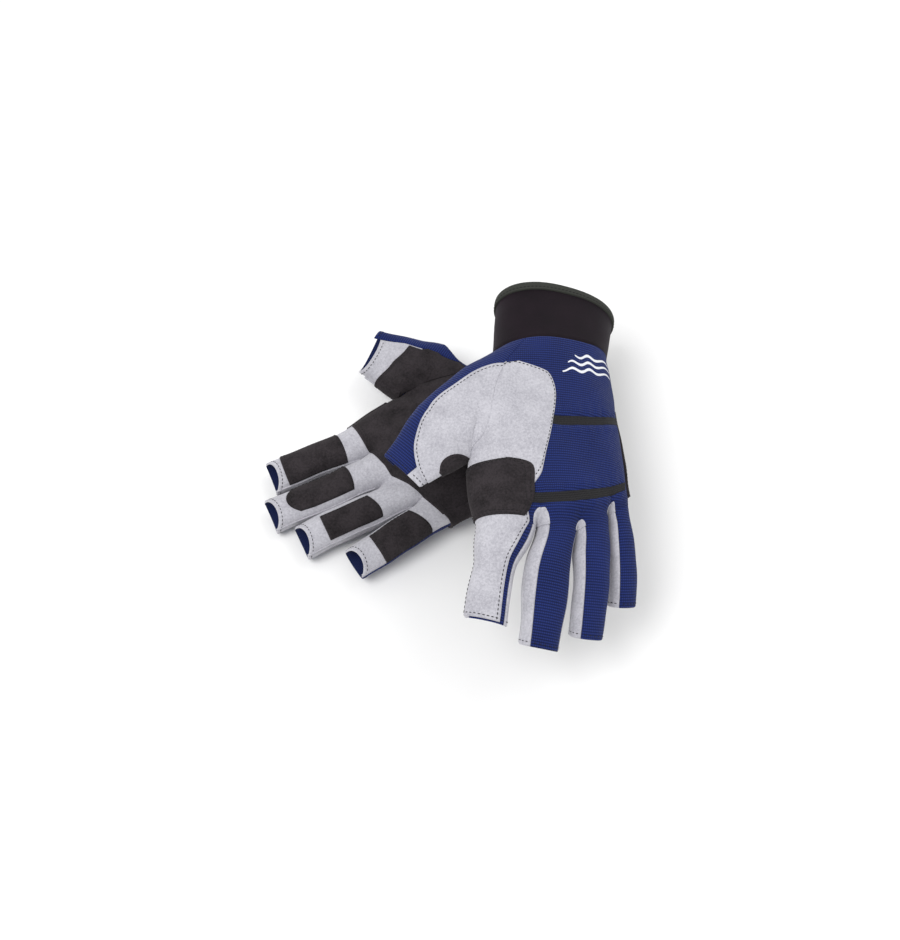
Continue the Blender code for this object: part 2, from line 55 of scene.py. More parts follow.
# ---- hand pattern: x towards the thumb, y towards the fingertips ----
WRIST_HALF = 32.5
RIM_HALF = 33.6
WRIST_SHIFT = -4.9
RIM_SHIFT = -14.2
CUFF_LENGTH = 37.5
COLUMN_SHARE = (1.0, 0.6, 0.21, -0.18, -0.6, -1.0)
KNUCKLES = ((41.0, 100.0), (20.0, 102.0), (-1.0, 104.0), (-22.0, 93.0), (-41.0, 86.0))
BOWS = ((52.0, 45.0), (15.0, 50.0), (-3.0, 50.0), (-22.0, 46.0), (-47.0, 42.0))
THUMB_CROTCH = 0.65
THUMB_BOW = (52.0, 14.0)
THUMB_BASE_HALF = 20.0
SPLIT_START = 0.83

DIGIT_LENGTH = each(50.0, 59.5, 57.0, 48.0, 30.0)
DIGIT_FAT = each(9.0, 9.0, 9.0, 8.5, 11.0)
DIGIT_CLEARANCE = 0.35
SECTION_POWER = 2.4
NEOPRENE = 2.0
FAT_ROWS = (-1.0, 0.0, 0.45, 1.0)
BEND_START = 22.0

# ---- how each glove lies: angles in degrees, places in millimetres ----
LEFT = {
    "name": "left", "back_up": True,
    "place": (49.4, 47.1, 66.0), "roll": -17.5, "pitch": 5.5, "yaw": 186.0,
    "fat": (21.0, 20.0, 15.0, 13.5), "belly": (1.0, 1.0, 1.0, 1.0), "arch": 190.0,
    "droop": ((-44.0, 0.0), (0.0, 0.0), (60.0, -6.7), (95.0, -8.9), (160.0, -15.2)),
    "wrist_bend": 0.0, "thumb_lean": 52.5, "hang": 4.5,
    "lean": each(15.5, 9.9, 0.6, -9.0),
    "shift": each(3.0, 2.4, 0.4, 0.0),
    "swell": each(-0.8, 1.2, 0.0, 0.0),
    "half": each(11.8, 11.8, 10.4, 8.8, 14.5),
    "tip_flat": each(0.45, 0.8, 0.8, 0.8, 0.35),
    "knuckle_room": (6.0, -4.0, -4.0, -2.5, 3.6), "bow_room": (3.0, -2.0, -2.0, -1.5, 7.2),
    "rim_slant": 0.16,
    "curl": each(3.0, 16.0, 22.0, 24.0, -4.0),
}
RIGHT = {
    "name": "right", "back_up": False,
    "place": (45.7, 52.0, 21.5), "roll": 1.2, "pitch": -4.7, "yaw": 122.5,
    "fat": (9.0, 12.0, 10.0, 9.5), "belly": (2.2, 1.8, 1.6, 1.25), "arch": 0.0,
    "droop": ((-44.0, 0.0), (160.0, 0.0)),
    "wrist_bend": 66.0, "thumb_lean": 59.5, "hang": -16.0,
    "lean": each(10.5, 8.6, 7.0, -1.0),
    "shift": dict.fromkeys(DIGITS, 0.0), "swell": dict.fromkeys(DIGITS, 0.0),
    "half": each(10.4, 10.4, 10.4, 9.8, 14.5),
    "tip_flat": each(0.85, 0.9, 0.9, 0.9, 0.6),
    "knuckle_room": (0.0,) * 5, "bow_room": (0.0,) * 5,
    "rim_slant": 0.0,
    "curl": dict.fromkeys(DIGITS + (THUMB,), 0.0),
}

# ---- cloth: millimetres out from the glove surface ----
CLOTH = 1.0
GRID = 1.3
OVERLAY = (0.75, -0.35)
LAPPED = (1.15, -0.35)
SECOND = (1.45, 0.3)
EDGE = (1.5, -0.35)
GROUND = 1.5
BEND_LENGTH = 14.0
PALM_CUT = 5.0

# elastic bands: first and last w, height in the pattern where it is highest, w there, fall to the sides
BANDS = ((1.28, 3.62, 48.6, 1.5, 2.2), (0.80, 3.5, 90.5, 1.1, 2.1))
BAND_ROWS = 98.0
BAND_HALF = 2.4
# w edges of the navy strip on each digit's back
STRIPS = {"index": (0.2, 0.8), "middle": (0.31, 0.88), "ring": (0.27, 0.88), "pinky": (0.27, 1.0),
          THUMB: (0.0, 0.62)}
# finger pads: w edges, v edges, and how round the tip end is
PADS = {"index": (1.12, 1.96, 1.10, 1.82, 0.0), "middle": (1.24, 1.84, 1.15, 1.80, 0.09),
        "ring": (1.18, 1.70, 1.18, 1.73, 0.0), "pinky": (1.03, 1.76, 1.07, 1.68, 0.0)}
# where the webs between the fingers start: knuckle gap, v
WEBS = ((1, 0.925), (2, 0.955), (3, 0.94))

# stitches: pitch, length and thread radius, how far rows stand in from an edge, how far out they stand
STITCH_PITCH, STITCH_LENGTH, THREAD_RADIUS = 2.1, 1.5, 0.24
ONE_ROW, TWO_ROWS, CROTCH_ROWS, PAD_ROWS = (1.7,), (1.4, 3.2), (1.4, 3.0), (1.2, 2.8)
EDGE_ROW, PAD_SIDE_ROW, HEM_ROW = (1.5,), 1.1, 2.2
PROUD, LOBE_PROUD, HEM_PROUD = 0.04, 0.05, 0.02
CUFF_ROUND = 190

# camera: lens, angle above the floor, distance in metres, height it looks at
LENS, LIFT, DISTANCE, LOOK_HEIGHT = 43.59, 61.3, 0.6264, 29.4

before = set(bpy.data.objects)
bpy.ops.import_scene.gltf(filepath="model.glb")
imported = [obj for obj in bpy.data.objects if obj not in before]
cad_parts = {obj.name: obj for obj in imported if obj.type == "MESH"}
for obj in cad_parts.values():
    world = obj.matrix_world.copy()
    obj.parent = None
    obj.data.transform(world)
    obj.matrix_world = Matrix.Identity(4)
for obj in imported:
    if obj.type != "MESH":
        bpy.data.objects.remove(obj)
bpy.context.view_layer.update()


# ---- shaders ----
class Wire:
    """A socket that can be used in sums."""

    def __init__(self, paint, socket):
        self.paint, self.socket = paint, socket

    def maths(self, operation, *others):
        return self.paint.node("ShaderNodeMath", {"operation": operation}, *others)

    def __add__(self, other):
        return self.maths("ADD", self, other)

    def __rsub__(self, other):
        return self.maths("SUBTRACT", other, self)

    def __mul__(self, other):
        return self.maths("MULTIPLY", self, other)

    def __pow__(self, other):
        return self.maths("POWER", self, other)

    __radd__ = __add__
    __rmul__ = __mul__


class Paint:
    """One material: nodes are added by calls, and expressions on wires add Math nodes."""

    def __init__(self, name, slot):
        self.slot = slot
        self.material = bpy.data.materials.new(name)
        self.material.use_nodes = True
        self.tree = self.material.node_tree
        self.shader = self.tree.nodes["Principled BSDF"]
        self.uv = self.node("ShaderNodeTexCoord", {}, out="UV")
        self.place = self.node("ShaderNodeTexCoord", {}, out="Object")

    def node(self, kind, settings, *values, out=0, **named):
        made = self.tree.nodes.new(kind)
        for key, value in settings.items():
            if key == "stops":
                ramp = made.color_ramp.elements
                while len(ramp) < len(value):
                    ramp.new(0.5)
                for element, (position, colour) in zip(ramp, value):
                    element.position = position
                    element.color = (*colour, 1)
            else:
                setattr(made, key, value)
        named = {key.replace("_", " "): value for key, value in named.items()}
        for key, value in [*enumerate(values), *named.items()]:
            if isinstance(value, Wire):
                self.tree.links.new(value.socket, made.inputs[key])
            else:
                made.inputs[key].default_value = value
        return Wire(self, made.outputs[out])

    def sine(self, value):
        return self.node("ShaderNodeMath", {"operation": "SINE"}, value)

    def mixed(self, share, one, two):
        """Colour one where share is 0, two where it is 1."""
        made = self.tree.nodes.new("ShaderNodeMix")
        made.data_type = "RGBA"
        for socket, value in zip((made.inputs[0], made.inputs[6], made.inputs[7]), (share, one, two)):
            if isinstance(value, Wire):
                self.tree.links.new(value.socket, socket)
            else:
                socket.default_value = value if isinstance(value, (int, float)) else (*value, 1)
        return Wire(self, made.outputs[2])

    def noise(self, scale, detail=2.0, rough=0.5, at=None):
        return self.node("ShaderNodeTexNoise", {}, out="Fac", Vector=at or self.place, Scale=scale,
                         Detail=detail, Roughness=rough)

    def spread(self, value, low, high):
        """value stretched so that low is 0 and high is 1, held at both ends."""
        return self.node("ShaderNodeMapRange", {}, value, low, high, 0.0, 1.0)

    def finish(self, colour, rough, height, depth, **constants):
        """Colour and roughness, a bump of real depth in metres, and values the same all over."""
        for key, value in (("Base Color", colour), ("Roughness", rough)):
            if isinstance(value, Wire):
                self.tree.links.new(value.socket, self.shader.inputs[key])
            else:
                self.shader.inputs[key].default_value = value
        bump = self.node("ShaderNodeBump", {}, Strength=1.0, Distance=depth, Height=height)
        self.tree.links.new(bump.socket, self.shader.inputs["Normal"])
        for key, value in constants.items():
            self.shader.inputs[key.replace("_", " ")].default_value = value
        return self


def threads(paint, pitch, axis):
    """Round threads side by side: 1 on top of a thread, 0 between two; pitch in the UV's millimetres."""
    part = paint.node("ShaderNodeSeparateXYZ", {}, paint.uv, out=axis)
    return paint.sine(part * (2 * pi / pitch)) * 0.5 + 0.5


def rib_knit(name, slot, dark, light, pitch=1.3, across=1.05):
    """Stretch cloth with ribs across the hand, each rib made of small knitted dots; its colour has painted
    highlight on the tops of the ribs and dots and painted shade in the gaps between them.
    """
    paint = Paint(name, slot)
    rib, dots = threads(paint, pitch, 1), threads(paint, across, 0)
    yarn_height_and_painted_light = (rib ** 0.8) * (dots * 0.65 + 0.35)
    cloud = paint.noise(42.0, 3.0)
    fluff = paint.noise(2600.0, 2.0, 0.6)
    # painted highlight and shade: the colour is lighter where the ribs and dots stand high and darker in the
    # gaps between them, with random cloud and fluff on top
    tone = paint.spread(yarn_height_and_painted_light * 0.75 + cloud * 0.3 + fluff * 0.22, 0.18, 1.05)
    colour = paint.mixed(tone, dark, light)
    height = yarn_height_and_painted_light + fluff * 0.25
    return paint.finish(colour, 0.78 - 0.12 * yarn_height_and_painted_light, height, 0.00032, Sheen_Weight=0.10, Sheen_Roughness=0.5,
                        Sheen_Tint=(0.45, 0.5, 0.8, 1), Specular_IOR_Level=0.15)


def suede(name, slot, dark, light, mottle=0.5, sheen=0.3, tint=(1, 1, 1, 1)):
    """Microfibre suede: a short nap brushed in patches, with fine pores."""
    paint = Paint(name, slot)
    patches = paint.noise(95.0, 3.0, 0.55)
    grain = paint.noise(900.0, 3.0, 0.65)
    pores = paint.noise(3200.0, 2.0, 0.6)
    nap = patches * mottle + grain * 0.9 + pores * 0.5
    tone = paint.spread(nap, 0.50 + 0.30 * mottle, 0.88 + 0.50 * mottle)
    colour = paint.mixed(tone, dark, light)
    return paint.finish(colour, 0.82 + 0.15 * grain, grain * 0.8 + pores * 0.5, 0.00016, Sheen_Weight=sheen,
                        Sheen_Roughness=0.6, Sheen_Tint=tint, Specular_IOR_Level=0.12)


def neoprene(name, slot):
    """Foam rubber under a fine jersey: nearly smooth, with a purple cast; its colour is partly random cloud
    and partly faint painted highlight and shade on the jersey's threads.
    """
    paint = Paint(name, slot)
    jersey = threads(paint, 0.55, 0) * threads(paint, 0.7, 1)
    cloud = paint.noise(60.0, 3.0)
    lint = paint.spread(paint.noise(1500.0, 1.0, 0.4), 0.72, 0.8)
    # partly painted: random cloud, plus painted highlight on top of the jersey's threads and painted shade
    # between them
    tone = paint.spread(cloud * 0.8 + jersey * 0.35, 0.2, 0.9)
    colour = paint.mixed(tone, (0.0040, 0.0024, 0.0040), (0.0135, 0.0075, 0.0120))
    colour = paint.mixed(lint * 0.3, colour, (0.06, 0.04, 0.05))
    return paint.finish(colour, 0.62 + 0.1 * cloud, jersey + cloud * 0.4, 0.00008, Sheen_Weight=0.03,
                        Sheen_Roughness=0.4, Sheen_Tint=(0.75, 0.55, 0.8, 1), Specular_IOR_Level=0.12)


def woven(name, slot, dark, light, across, along, depth, rough=0.7):
    """Narrow woven tape: threads crossing at two pitches; its colour has painted highlight on top of the
    threads and painted shade between them.
    """
    paint = Paint(name, slot)
    warp, weft = threads(paint, across, 0), threads(paint, along, 1)
    yarn_height_and_painted_light = warp * 0.5 + weft * 0.5
    fluff = paint.noise(2200.0, 2.0)
    # painted highlight and shade: the tape is lighter where its threads stand high and darker between them,
    # with random fluff
    colour = paint.mixed(paint.spread(yarn_height_and_painted_light * 0.8 + fluff * 0.35, 0.25, 1.0), dark, light)
    return paint.finish(colour, rough + 0.1 * fluff, yarn_height_and_painted_light + fluff * 0.2, depth, Specular_IOR_Level=0.3)


def plain(name, slot, dark, light, grain, depth, rough):
    """Thread or print: one colour with fine grain."""
    paint = Paint(name, slot)
    fluff = paint.noise(grain, 2.0)
    return paint.finish(paint.mixed(fluff, dark, light), rough + 0.1 * fluff, fluff, depth,
                        Specular_IOR_Level=0.35)


# each knit's first colour is painted shade in the gaps between its ribs and dots and its second is painted
# highlight on their tops, blended with random tone
NAVY = rib_knit("navy_rib_knit", "navy_stretch", (0.0018, 0.0038, 0.026), (0.016, 0.034, 0.185))
LINING = rib_knit("navy_lining", "navy_stretch", (0.003, 0.006, 0.034), (0.012, 0.024, 0.110), 0.9, 0.9)
GREY = suede("grey_suede", "grey_suede", (0.270, 0.265, 0.300), (0.470, 0.465, 0.505))
BLACK = suede("black_suede", "black_suede", (0.0045, 0.0038, 0.0043), (0.031, 0.026, 0.029), 0.9, 0.05,
              (0.8, 0.75, 0.75, 1))
RUBBER = neoprene("purple_black_neoprene", "neoprene")
# each tape's first colour is painted shade between its threads and its second is painted highlight on their
# tops, blended with random fluff
OLIVE = woven("olive_binding_tape", "olive_binding", (0.012, 0.013, 0.011), (0.042, 0.045, 0.037), 0.6, 0.6,
              0.0001)
ELASTIC = woven("black_elastic_webbing", "black_elastic", (0.003, 0.003, 0.004), (0.020, 0.019, 0.021), 1.1,
                0.8, 0.0003)
THREAD = plain("dark_thread", "black_elastic", (0.0015, 0.0015, 0.0018), (0.007, 0.006, 0.007), 3000.0,
               0.00005, 0.6)
WHITE = plain("white_print", "grey_suede", (0.62, 0.63, 0.66), (0.80, 0.81, 0.84), 1500.0, 0.00003, 0.5)


# ---- the glove surface ----
def smooth(t):
    t = np.clip(t, 0, 1)
    return t * t * (3 - 2 * t)


def matched(*values):
    """The values as arrays of one shape."""
    return (np.asarray(value, float) for value in np.broadcast_arrays(*values))


def bezier(a, b, c, t):
    t = np.asarray(t, float)[..., None]
    a, b, c = (np.array(p, float) for p in (a, b, c))
    return (1 - t) ** 2 * a + 2 * t * (1 - t) * b + t * t * c


def turned(points, origin, along, up, law):
    """Bend points along one direction, by a law of (distance, slope in degrees)."""
    across = np.cross(along, up)
    q = points - origin
    far, high, wide = q @ along, q @ up, q @ across
    steps = np.linspace(law[0][0], law[-1][0], 241)
    slope = np.radians(np.interp(steps, [d for d, _ in law], [a for _, a in law]))
    middle = (slope[1:] + slope[:-1]) / 2
    size = steps[1] - steps[0]
    run = np.concatenate([[0], np.cumsum(np.cos(middle)) * size])
    rise = np.concatenate([[0], np.cumsum(np.sin(middle)) * size])
    run -= np.interp(0, steps, run)
    rise -= np.interp(0, steps, rise)
    held = np.clip(far, steps[0], steps[-1])
    angle = np.interp(held, steps, slope)
    spare = far - held
    x = np.interp(held, steps, run) + spare * np.cos(angle) - high * np.sin(angle)
    y = np.interp(held, steps, rise) + spare * np.sin(angle) + high * np.cos(angle)
    return origin + x[..., None] * along + y[..., None] * up + wide[..., None] * across


class Glove:
    """The outer surface of one glove, as it lies."""

    def __init__(self, lie, creases, phase):
        self.lie = lie
        self.creases, self.phase = creases, phase
        self.knuckles = [(x + room, y) for (x, y), room in zip(KNUCKLES, lie["knuckle_room"])]
        self.bows = [(x + room, y) for (x, y), room in zip(BOWS, lie["bow_room"])]
        self.crotch = bezier(self.wrist(0), self.bows[0], self.knuckles[0], THUMB_CROTCH)
        lean = radians(lie["thumb_lean"])
        self.thumb_way = np.array([sin(lean), cos(lean)])
        self.thumb_side = np.array([cos(lean), -sin(lean)])
        self.thumb_edge = self.crotch + 2 * THUMB_BASE_HALF * self.thumb_side
        self.turn = np.array(Matrix.Rotation(radians(lie["yaw"]), 3, "Z")
                             @ Matrix.Rotation(radians(lie["pitch"]), 3, "X")
                             @ Matrix.Rotation(radians(lie["roll"]), 3, "Y"))

    # -- the flat pattern --
    def wrist(self, column):
        return (COLUMN_SHARE[column + 1] * WRIST_HALF + WRIST_SHIFT, 0.0)

    def line(self, column, v):
        """A column line of the hand, at v from -1 to 1."""
        v = np.asarray(v, float)
        start = self.wrist(column)[0]
        end = COLUMN_SHARE[column + 1] * RIM_HALF + RIM_SHIFT
        down = np.clip(-v, 0, 1)
        length = CUFF_LENGTH * (1 + self.lie["rim_slant"] * COLUMN_SHARE[column + 1])
        cuff = np.stack([start + (end - start) * down, -length * down], -1)
        bow, top = (THUMB_BOW, self.thumb_edge) if column < 0 else (self.bows[column], self.knuckles[column])
        hand = bezier((start, 0), bow, top, np.clip(v, 0, 1))
        return np.where((v < 0)[..., None], cuff, hand)

    @staticmethod
    def digit_split(v):
        return smooth((v - SPLIT_START) / (1 - SPLIT_START)) ** 1.3

    @staticmethod
    def thumb_split(v):
        return np.clip((v / THUMB_CROTCH - 0.25) / 0.75, 0, 1) ** 2

    @staticmethod
    def bulge(share):
        return 1 - np.abs(share) ** SECTION_POWER

    def hand(self, g, v):
        out = np.zeros(g.shape + (3,))
        column = np.clip(np.floor(g), 0, 3).astype(int)
        fat = np.interp(v, FAT_ROWS, self.lie["fat"])
        joined, thumbless = self.digit_split(v), self.thumb_split(v)
        for k in range(4):
            m = column == k
            if not m.any():
                continue
            share, row = g[m] - k, v[m]
            even = {0: 1 - np.cos(share * pi / 2), 3: np.sin(share * pi / 2)}.get(k, share)
            f = (1 - joined[m]) * even + joined[m] * (1 - np.cos(pi * share)) / 2
            a, b = self.line(k, row), self.line(k + 1, row)
            with_thumb, alone = self.bulge((k + f - 1.5) / 2.5), self.bulge((k + f - 2) / 2)
            wide = fat[m] ** 2 * ((1 - thumbless[m]) * with_thumb + thumbless[m] * alone)
            tube = DIGIT_FAT[DIGITS[k]] ** 2 * self.bulge(2 * f - 1)
            out[m, :2] = a + (b - a) * f[:, None]
            out[m, 2] = np.sqrt(np.clip((1 - joined[m]) * wide + joined[m] * tube, 0, None))
        return out

    def thumb(self, g, v):
        base = np.clip(v, -1, 1)
        row = np.where(base > 0, base * THUMB_CROTCH, base)
        free = self.thumb_split(np.clip(row, 0, 1))
        f = (1 - free) * (1 - np.cos(g * pi / 2)) + free * (1 - np.cos(pi * g)) / 2
        a, b = self.line(-1, base), self.line(0, row)
        fat = np.interp(row, FAT_ROWS, self.lie["fat"])
        wide = fat ** 2 * self.bulge((f - 2.5) / 2.5)
        tube = DIGIT_FAT["thumb"] ** 2 * self.bulge(2 * f - 1)
        s = np.clip(v - 1, 0, None)
        middle = (self.crotch + self.thumb_edge) / 2
        middle = middle + s[..., None] * DIGIT_LENGTH["thumb"] * self.thumb_way
        half = (THUMB_BASE_HALF - DIGIT_CLEARANCE * smooth(s * 8)
                + (self.lie["half"]["thumb"] - THUMB_BASE_HALF) * s)
        sleeve = middle + ((1 - 2 * f) * half)[..., None] * self.thumb_side
        flat = np.where((v > 1)[..., None], sleeve, a + (b - a) * f[..., None])
        high = np.sqrt(np.clip((1 - free) * wide + free * tube, 0, None)) * self.flattened("thumb", s)
        return np.concatenate([flat, high[..., None]], -1)

    def way(self, digit):
        """Middle of a digit's root on the knuckle line, and its direction."""
        if digit == "thumb":
            return (self.crotch + self.thumb_edge) / 2, self.thumb_way
        k = DIGITS.index(digit)
        lean = radians(self.lie["lean"][digit])
        middle = (np.array(self.knuckles[k]) + np.array(self.knuckles[k + 1])) / 2
        return middle, np.array([sin(lean), cos(lean)])

    def flattened(self, digit, s):
        """How much of its fatness a digit keeps, from its root at s = 0 to its tip at 1."""
        return 1 + (self.lie["tip_flat"][digit] - 1) * smooth(s * 1.2)

    def sleeve(self, digit, g, v):
        k = DIGITS.index(digit)
        f = (1 - np.cos(pi * g)) / 2
        s = v - 1
        root, way = self.way(digit)
        half = (np.array(self.knuckles[k]) - np.array(self.knuckles[k + 1])) / 2
        side = np.array([way[1], -way[0]])
        reach = np.linalg.norm(half)
        eased = smooth(s * 3)[..., None]
        across = (1 - eased) * half / reach + eased * side
        wide = reach - DIGIT_CLEARANCE * smooth(s * 8) + (self.lie["half"][digit] - reach) * smooth(s * 2)
        wide = wide + self.lie["swell"][digit] * np.sin(pi * np.clip(s, 0, 1)) ** 2
        flat = root + (s * DIGIT_LENGTH[digit])[..., None] * way
        flat = flat + (self.lie["shift"][digit] * smooth(s * 2.5))[..., None] * side
        flat = flat + ((1 - 2 * f) * wide)[..., None] * across
        high = DIGIT_FAT[digit] * np.sqrt(np.clip(self.bulge(2 * f - 1), 0, None)) * self.flattened(digit, s)
        return np.concatenate([flat, high[..., None]], -1)

    def pattern(self, part, g, v):
        """The unposed surface: g from 0 to n on the upper side and on to 2n below."""
        n = 4 if part == "hand" else 1
        g = np.mod(g, 2 * n)
        below = g > n
        g = np.where(below, 2 * n - g, g)
        if part == "hand":
            p = self.hand(g, v)
        elif part == "thumb":
            p = self.thumb(g, v)
        else:
            p = self.sleeve(part, g, v)
        belly = np.interp(v, FAT_ROWS + (1.3,), self.lie["belly"] + (1.0,))
        p[..., 2] *= np.where(below, -belly, 1)
        return p

    # -- bends --
    def posed(self, part, p):
        up = np.array([0.0, 0.0, 1.0])
        lie = self.lie
        if part != "hand" and part != "thumb":
            root, way = self.way(part)
            n, curl = DIGIT_LENGTH[part], lie["curl"][part]
            law = ((0, 0), (n * 0.15, -curl * 0.08), (n * 0.5, -curl * 0.55), (n, -curl))
            p = turned(p, np.array([*root, 0]), np.array([*way, 0]), up, law)
        if part == "thumb":
            start = np.array([*self.wrist(0), 0])
            seam = np.array([*self.crotch, 0]) - start
            seam /= np.linalg.norm(seam)
            out = np.array([seam[1], -seam[0], 0])
            h = lie["hang"]
            law = ((0, 0), (8, -h * 0.35), (20, -h * 0.8), (34, -h), (60, -h - lie["curl"]["thumb"]))
            fade = smooth(((p - start) @ seam) / 30)
            p = p + (turned(p, start, out, up, law) - p) * fade[..., None]
        b = lie["wrist_bend"]
        if b:
            law = ((-CUFF_LENGTH - BEND_START, -b), (-CUFF_LENGTH * 0.6 - BEND_START, -b * 0.85), (0, 0),
                   (200.0, 0))
            x, y = np.array([1.0, 0, 0]), np.array([0, 1.0, 0])
            p = turned(p, np.array([0, BEND_START, 0]), y, x, law)
        p = turned(p, np.zeros(3), np.array([0, 1.0, 0]), up, lie["droop"])
        if lie["arch"]:
            radius = lie["arch"]
            x, z = p[..., 0], p[..., 2]
            bent = np.stack([(radius + z) * np.sin(x / radius), p[..., 1],
                             (radius + z) * np.cos(x / radius) - radius], -1)
            p = p + (bent - p) * smooth((p[..., 1] + 10) / 60)[..., None]
        return p @ self.turn.T + np.array(lie["place"])

    # -- what cloth adds to the plain surface --
    def creased(self, x, y, upper):
        """Folds pressed into the upper side: each a line in the pattern, with a depth and a width."""
        out = np.zeros(x.shape)
        for x0, y0, x1, y1, depth, width in self.creases:
            way = np.array([x1 - x0, y1 - y0])
            length = np.hypot(*way)
            way = way / length
            along = (x - x0) * way[0] + (y - y0) * way[1]
            side = ((x - x0) * way[1] - (y - y0) * way[0]) / width
            ends = smooth(along / (0.3 * length) + 0.5) * smooth((length - along) / (0.3 * length) + 0.5)
            fold = np.exp(-side ** 2) - 0.55 * np.exp(-((np.abs(side) - 2) / 0.8) ** 2)
            out -= depth * fold * ends * upper
        return out

    def relief(self, part, g, v, p):
        x, y = p[..., 0], p[..., 1]
        upper = p[..., 2] >= 0
        wave = (0.30 * np.sin(x / 7.3 + y / 11.1 + self.phase)
                + 0.22 * np.sin(x / 12.1 - y / 8.7 + 2 * self.phase))
        wave += 0.14 * np.sin(x / 4.1 + y / 5.3 + 1) + 0.10 * np.sin(y / 3.1 - x / 6.3)
        out = wave * np.interp(v, (-0.1, 0.1), (0.25, 1)) + self.creased(x, y, upper)
        if part == "hand":
            w = g if self.lie["back_up"] else 8 - g
            for row in BANDS:
                far = np.abs(v - band_middle(row, w)) * BAND_ROWS
                held = smooth((w - row[0] + 0.08) * 4) * smooth((row[1] + 0.05 - w) * 4)
                gather = (0.30 * np.exp(-((far - 5) / 2.6) ** 2)
                          * (1 + 0.8 * np.sin(w * 19) + 0.5 * np.sin(w * 43)))
                out += (gather - 1.1 * np.exp(-(far / 2.9) ** 4)) * held
        return out

    def at(self, part, w, v, off):
        """Points on the lying glove, off millimetres out from its surface."""
        n = 4 if part == "hand" else 1
        w, v, off = matched(w, v, off)
        g = np.mod(w if self.lie["back_up"] else 2 * n - w, 2 * n)
        e = 1e-3
        # beside the thumb seam the surface goes on in the other part, so look inwards only
        low, high = g - e, g + e
        if part == "hand":
            joined = v < THUMB_CROTCH
            low = np.where(joined, np.maximum(low, 0), low)
            high = np.where(joined, np.minimum(high, 2 * n - 1e-9), high)
        elif part == THUMB:
            joined = v < 1
            high = np.where(joined & (g <= 1), np.minimum(high, 1), high)
            low = np.where(joined & (g > 1), np.maximum(low, 1 + 1e-9), low)
        round_ = self.pattern(part, high, v) - self.pattern(part, low, v)
        along = self.pattern(part, g, v + e) - self.pattern(part, g, v - e)
        out = np.cross(along, round_)
        out /= np.linalg.norm(out, axis=-1, keepdims=True) + 1e-12
        flat = self.pattern(part, g, v)
        high = off + self.relief(part, g, v, flat)
        p = self.posed(part, flat + high[..., None] * out)
        if not self.lie["back_up"]:
            p[..., 2] = np.maximum(p[..., 2], GROUND - off)
        return p

    def spot(self, c, r, off, digit=None):
        """The same with one count of columns: hand 0 to 8, thumb -1 to 0 and 8 to 9, and past the
        knuckle line the digit's own columns. digit names the digit that the piece runs on to."""
        c, r, off = matched(c, r, off)
        out = np.zeros(c.shape + (3,))
        if digit == THUMB:
            on = (c < 0) | (c > 8)
            if on.any():
                w = np.where(c < 0, c + 1, c - 7)
                out[on] = self.at(THUMB, w[on], np.where(r > 0, r / THUMB_CROTCH, r)[on], off[on])
        else:
            k = DIGITS.index(digit) if digit else 0
            on = (r > 1) & (digit is not None)
            if on.any():
                w = np.where(c > 4, 2 - (8 - c - k), c - k)
                out[on] = self.at(digit, w[on], r[on], off[on])
        if (~on).any():
            out[~on] = self.at("hand", c[~on], r[~on], off[~on])
        return out

    def thread_rows(self, part, w, v):
        """Millimetres along the cloth's own length: across the hand its ribs lie level."""
        n = 4 if part == "hand" else 1
        g = w if self.lie["back_up"] else 2 * n - w
        p = self.pattern(part, np.mod(np.asarray(g, float), 2 * n), v)
        if part == "hand":
            return p[..., 1]
        root, way = self.way(part)
        along = root[1] + (p[..., :2] - root) @ way
        return along if part == THUMB else p[..., 1] + (along - p[..., 1]) * smooth((v - 1) * 4)

    def around(self, q, v, off):
        """The closed ring of the wrist, q from 0 to 10: thumb column, hand, hand, thumb column."""
        q, v, off = matched(q, v, off)
        out = np.zeros(q.shape + (3,))
        spans = ((0, 1, "thumb", 0), (1, 5, "hand", 1), (5, 9, "hand", 1), (9, 10, "thumb", 8))
        for low, high, part, shift in spans:
            m = (q >= low) & (q < high)
            if m.any():
                out[m] = self.at(part, q[m] - shift, v[m], off[m])
        return out


# ---- making ----
def stops(length, first, last):
    """Shares of a length, closer at a rounded end."""
    if not np.isscalar(length):
        return length
    if length < 3:
        return np.array((0, 0.25, 0.75, 1.0))
    near = [0.0, 0.25 / length, 0.8 / length] if first else [0.0]
    far = [1 - 0.8 / length, 1 - 0.25 / length, 1.0] if last else [1.0]
    count = max(int(round(length * (far[0] - near[-1]) / GRID)), 1)
    return np.array(near[:-1] + list(np.linspace(near[-1], far[0], count + 1)) + far[1:])


def falls(share, first, last):
    """How much each stop drops at a rounded end, as a share of the drop."""
    out = np.zeros(len(share))
    if len(share) == 4:
        return np.array((first, 0.2 * first, 0.2 * last, last), float)
    if first:
        out[:2] = 1.0, 0.3
    if last:
        out[-2:] = 0.3, 1.0
    return out


def added(name, data):
    """A new object, put in the scene."""
    made = bpy.data.objects.new(name, data)
    bpy.context.scene.collection.objects.link(made)
    return made


def object_of(name, mesh, *looks):
    for paint in looks:
        mesh.materials.append(paint.material)
    piece = added(name, mesh)
    return piece


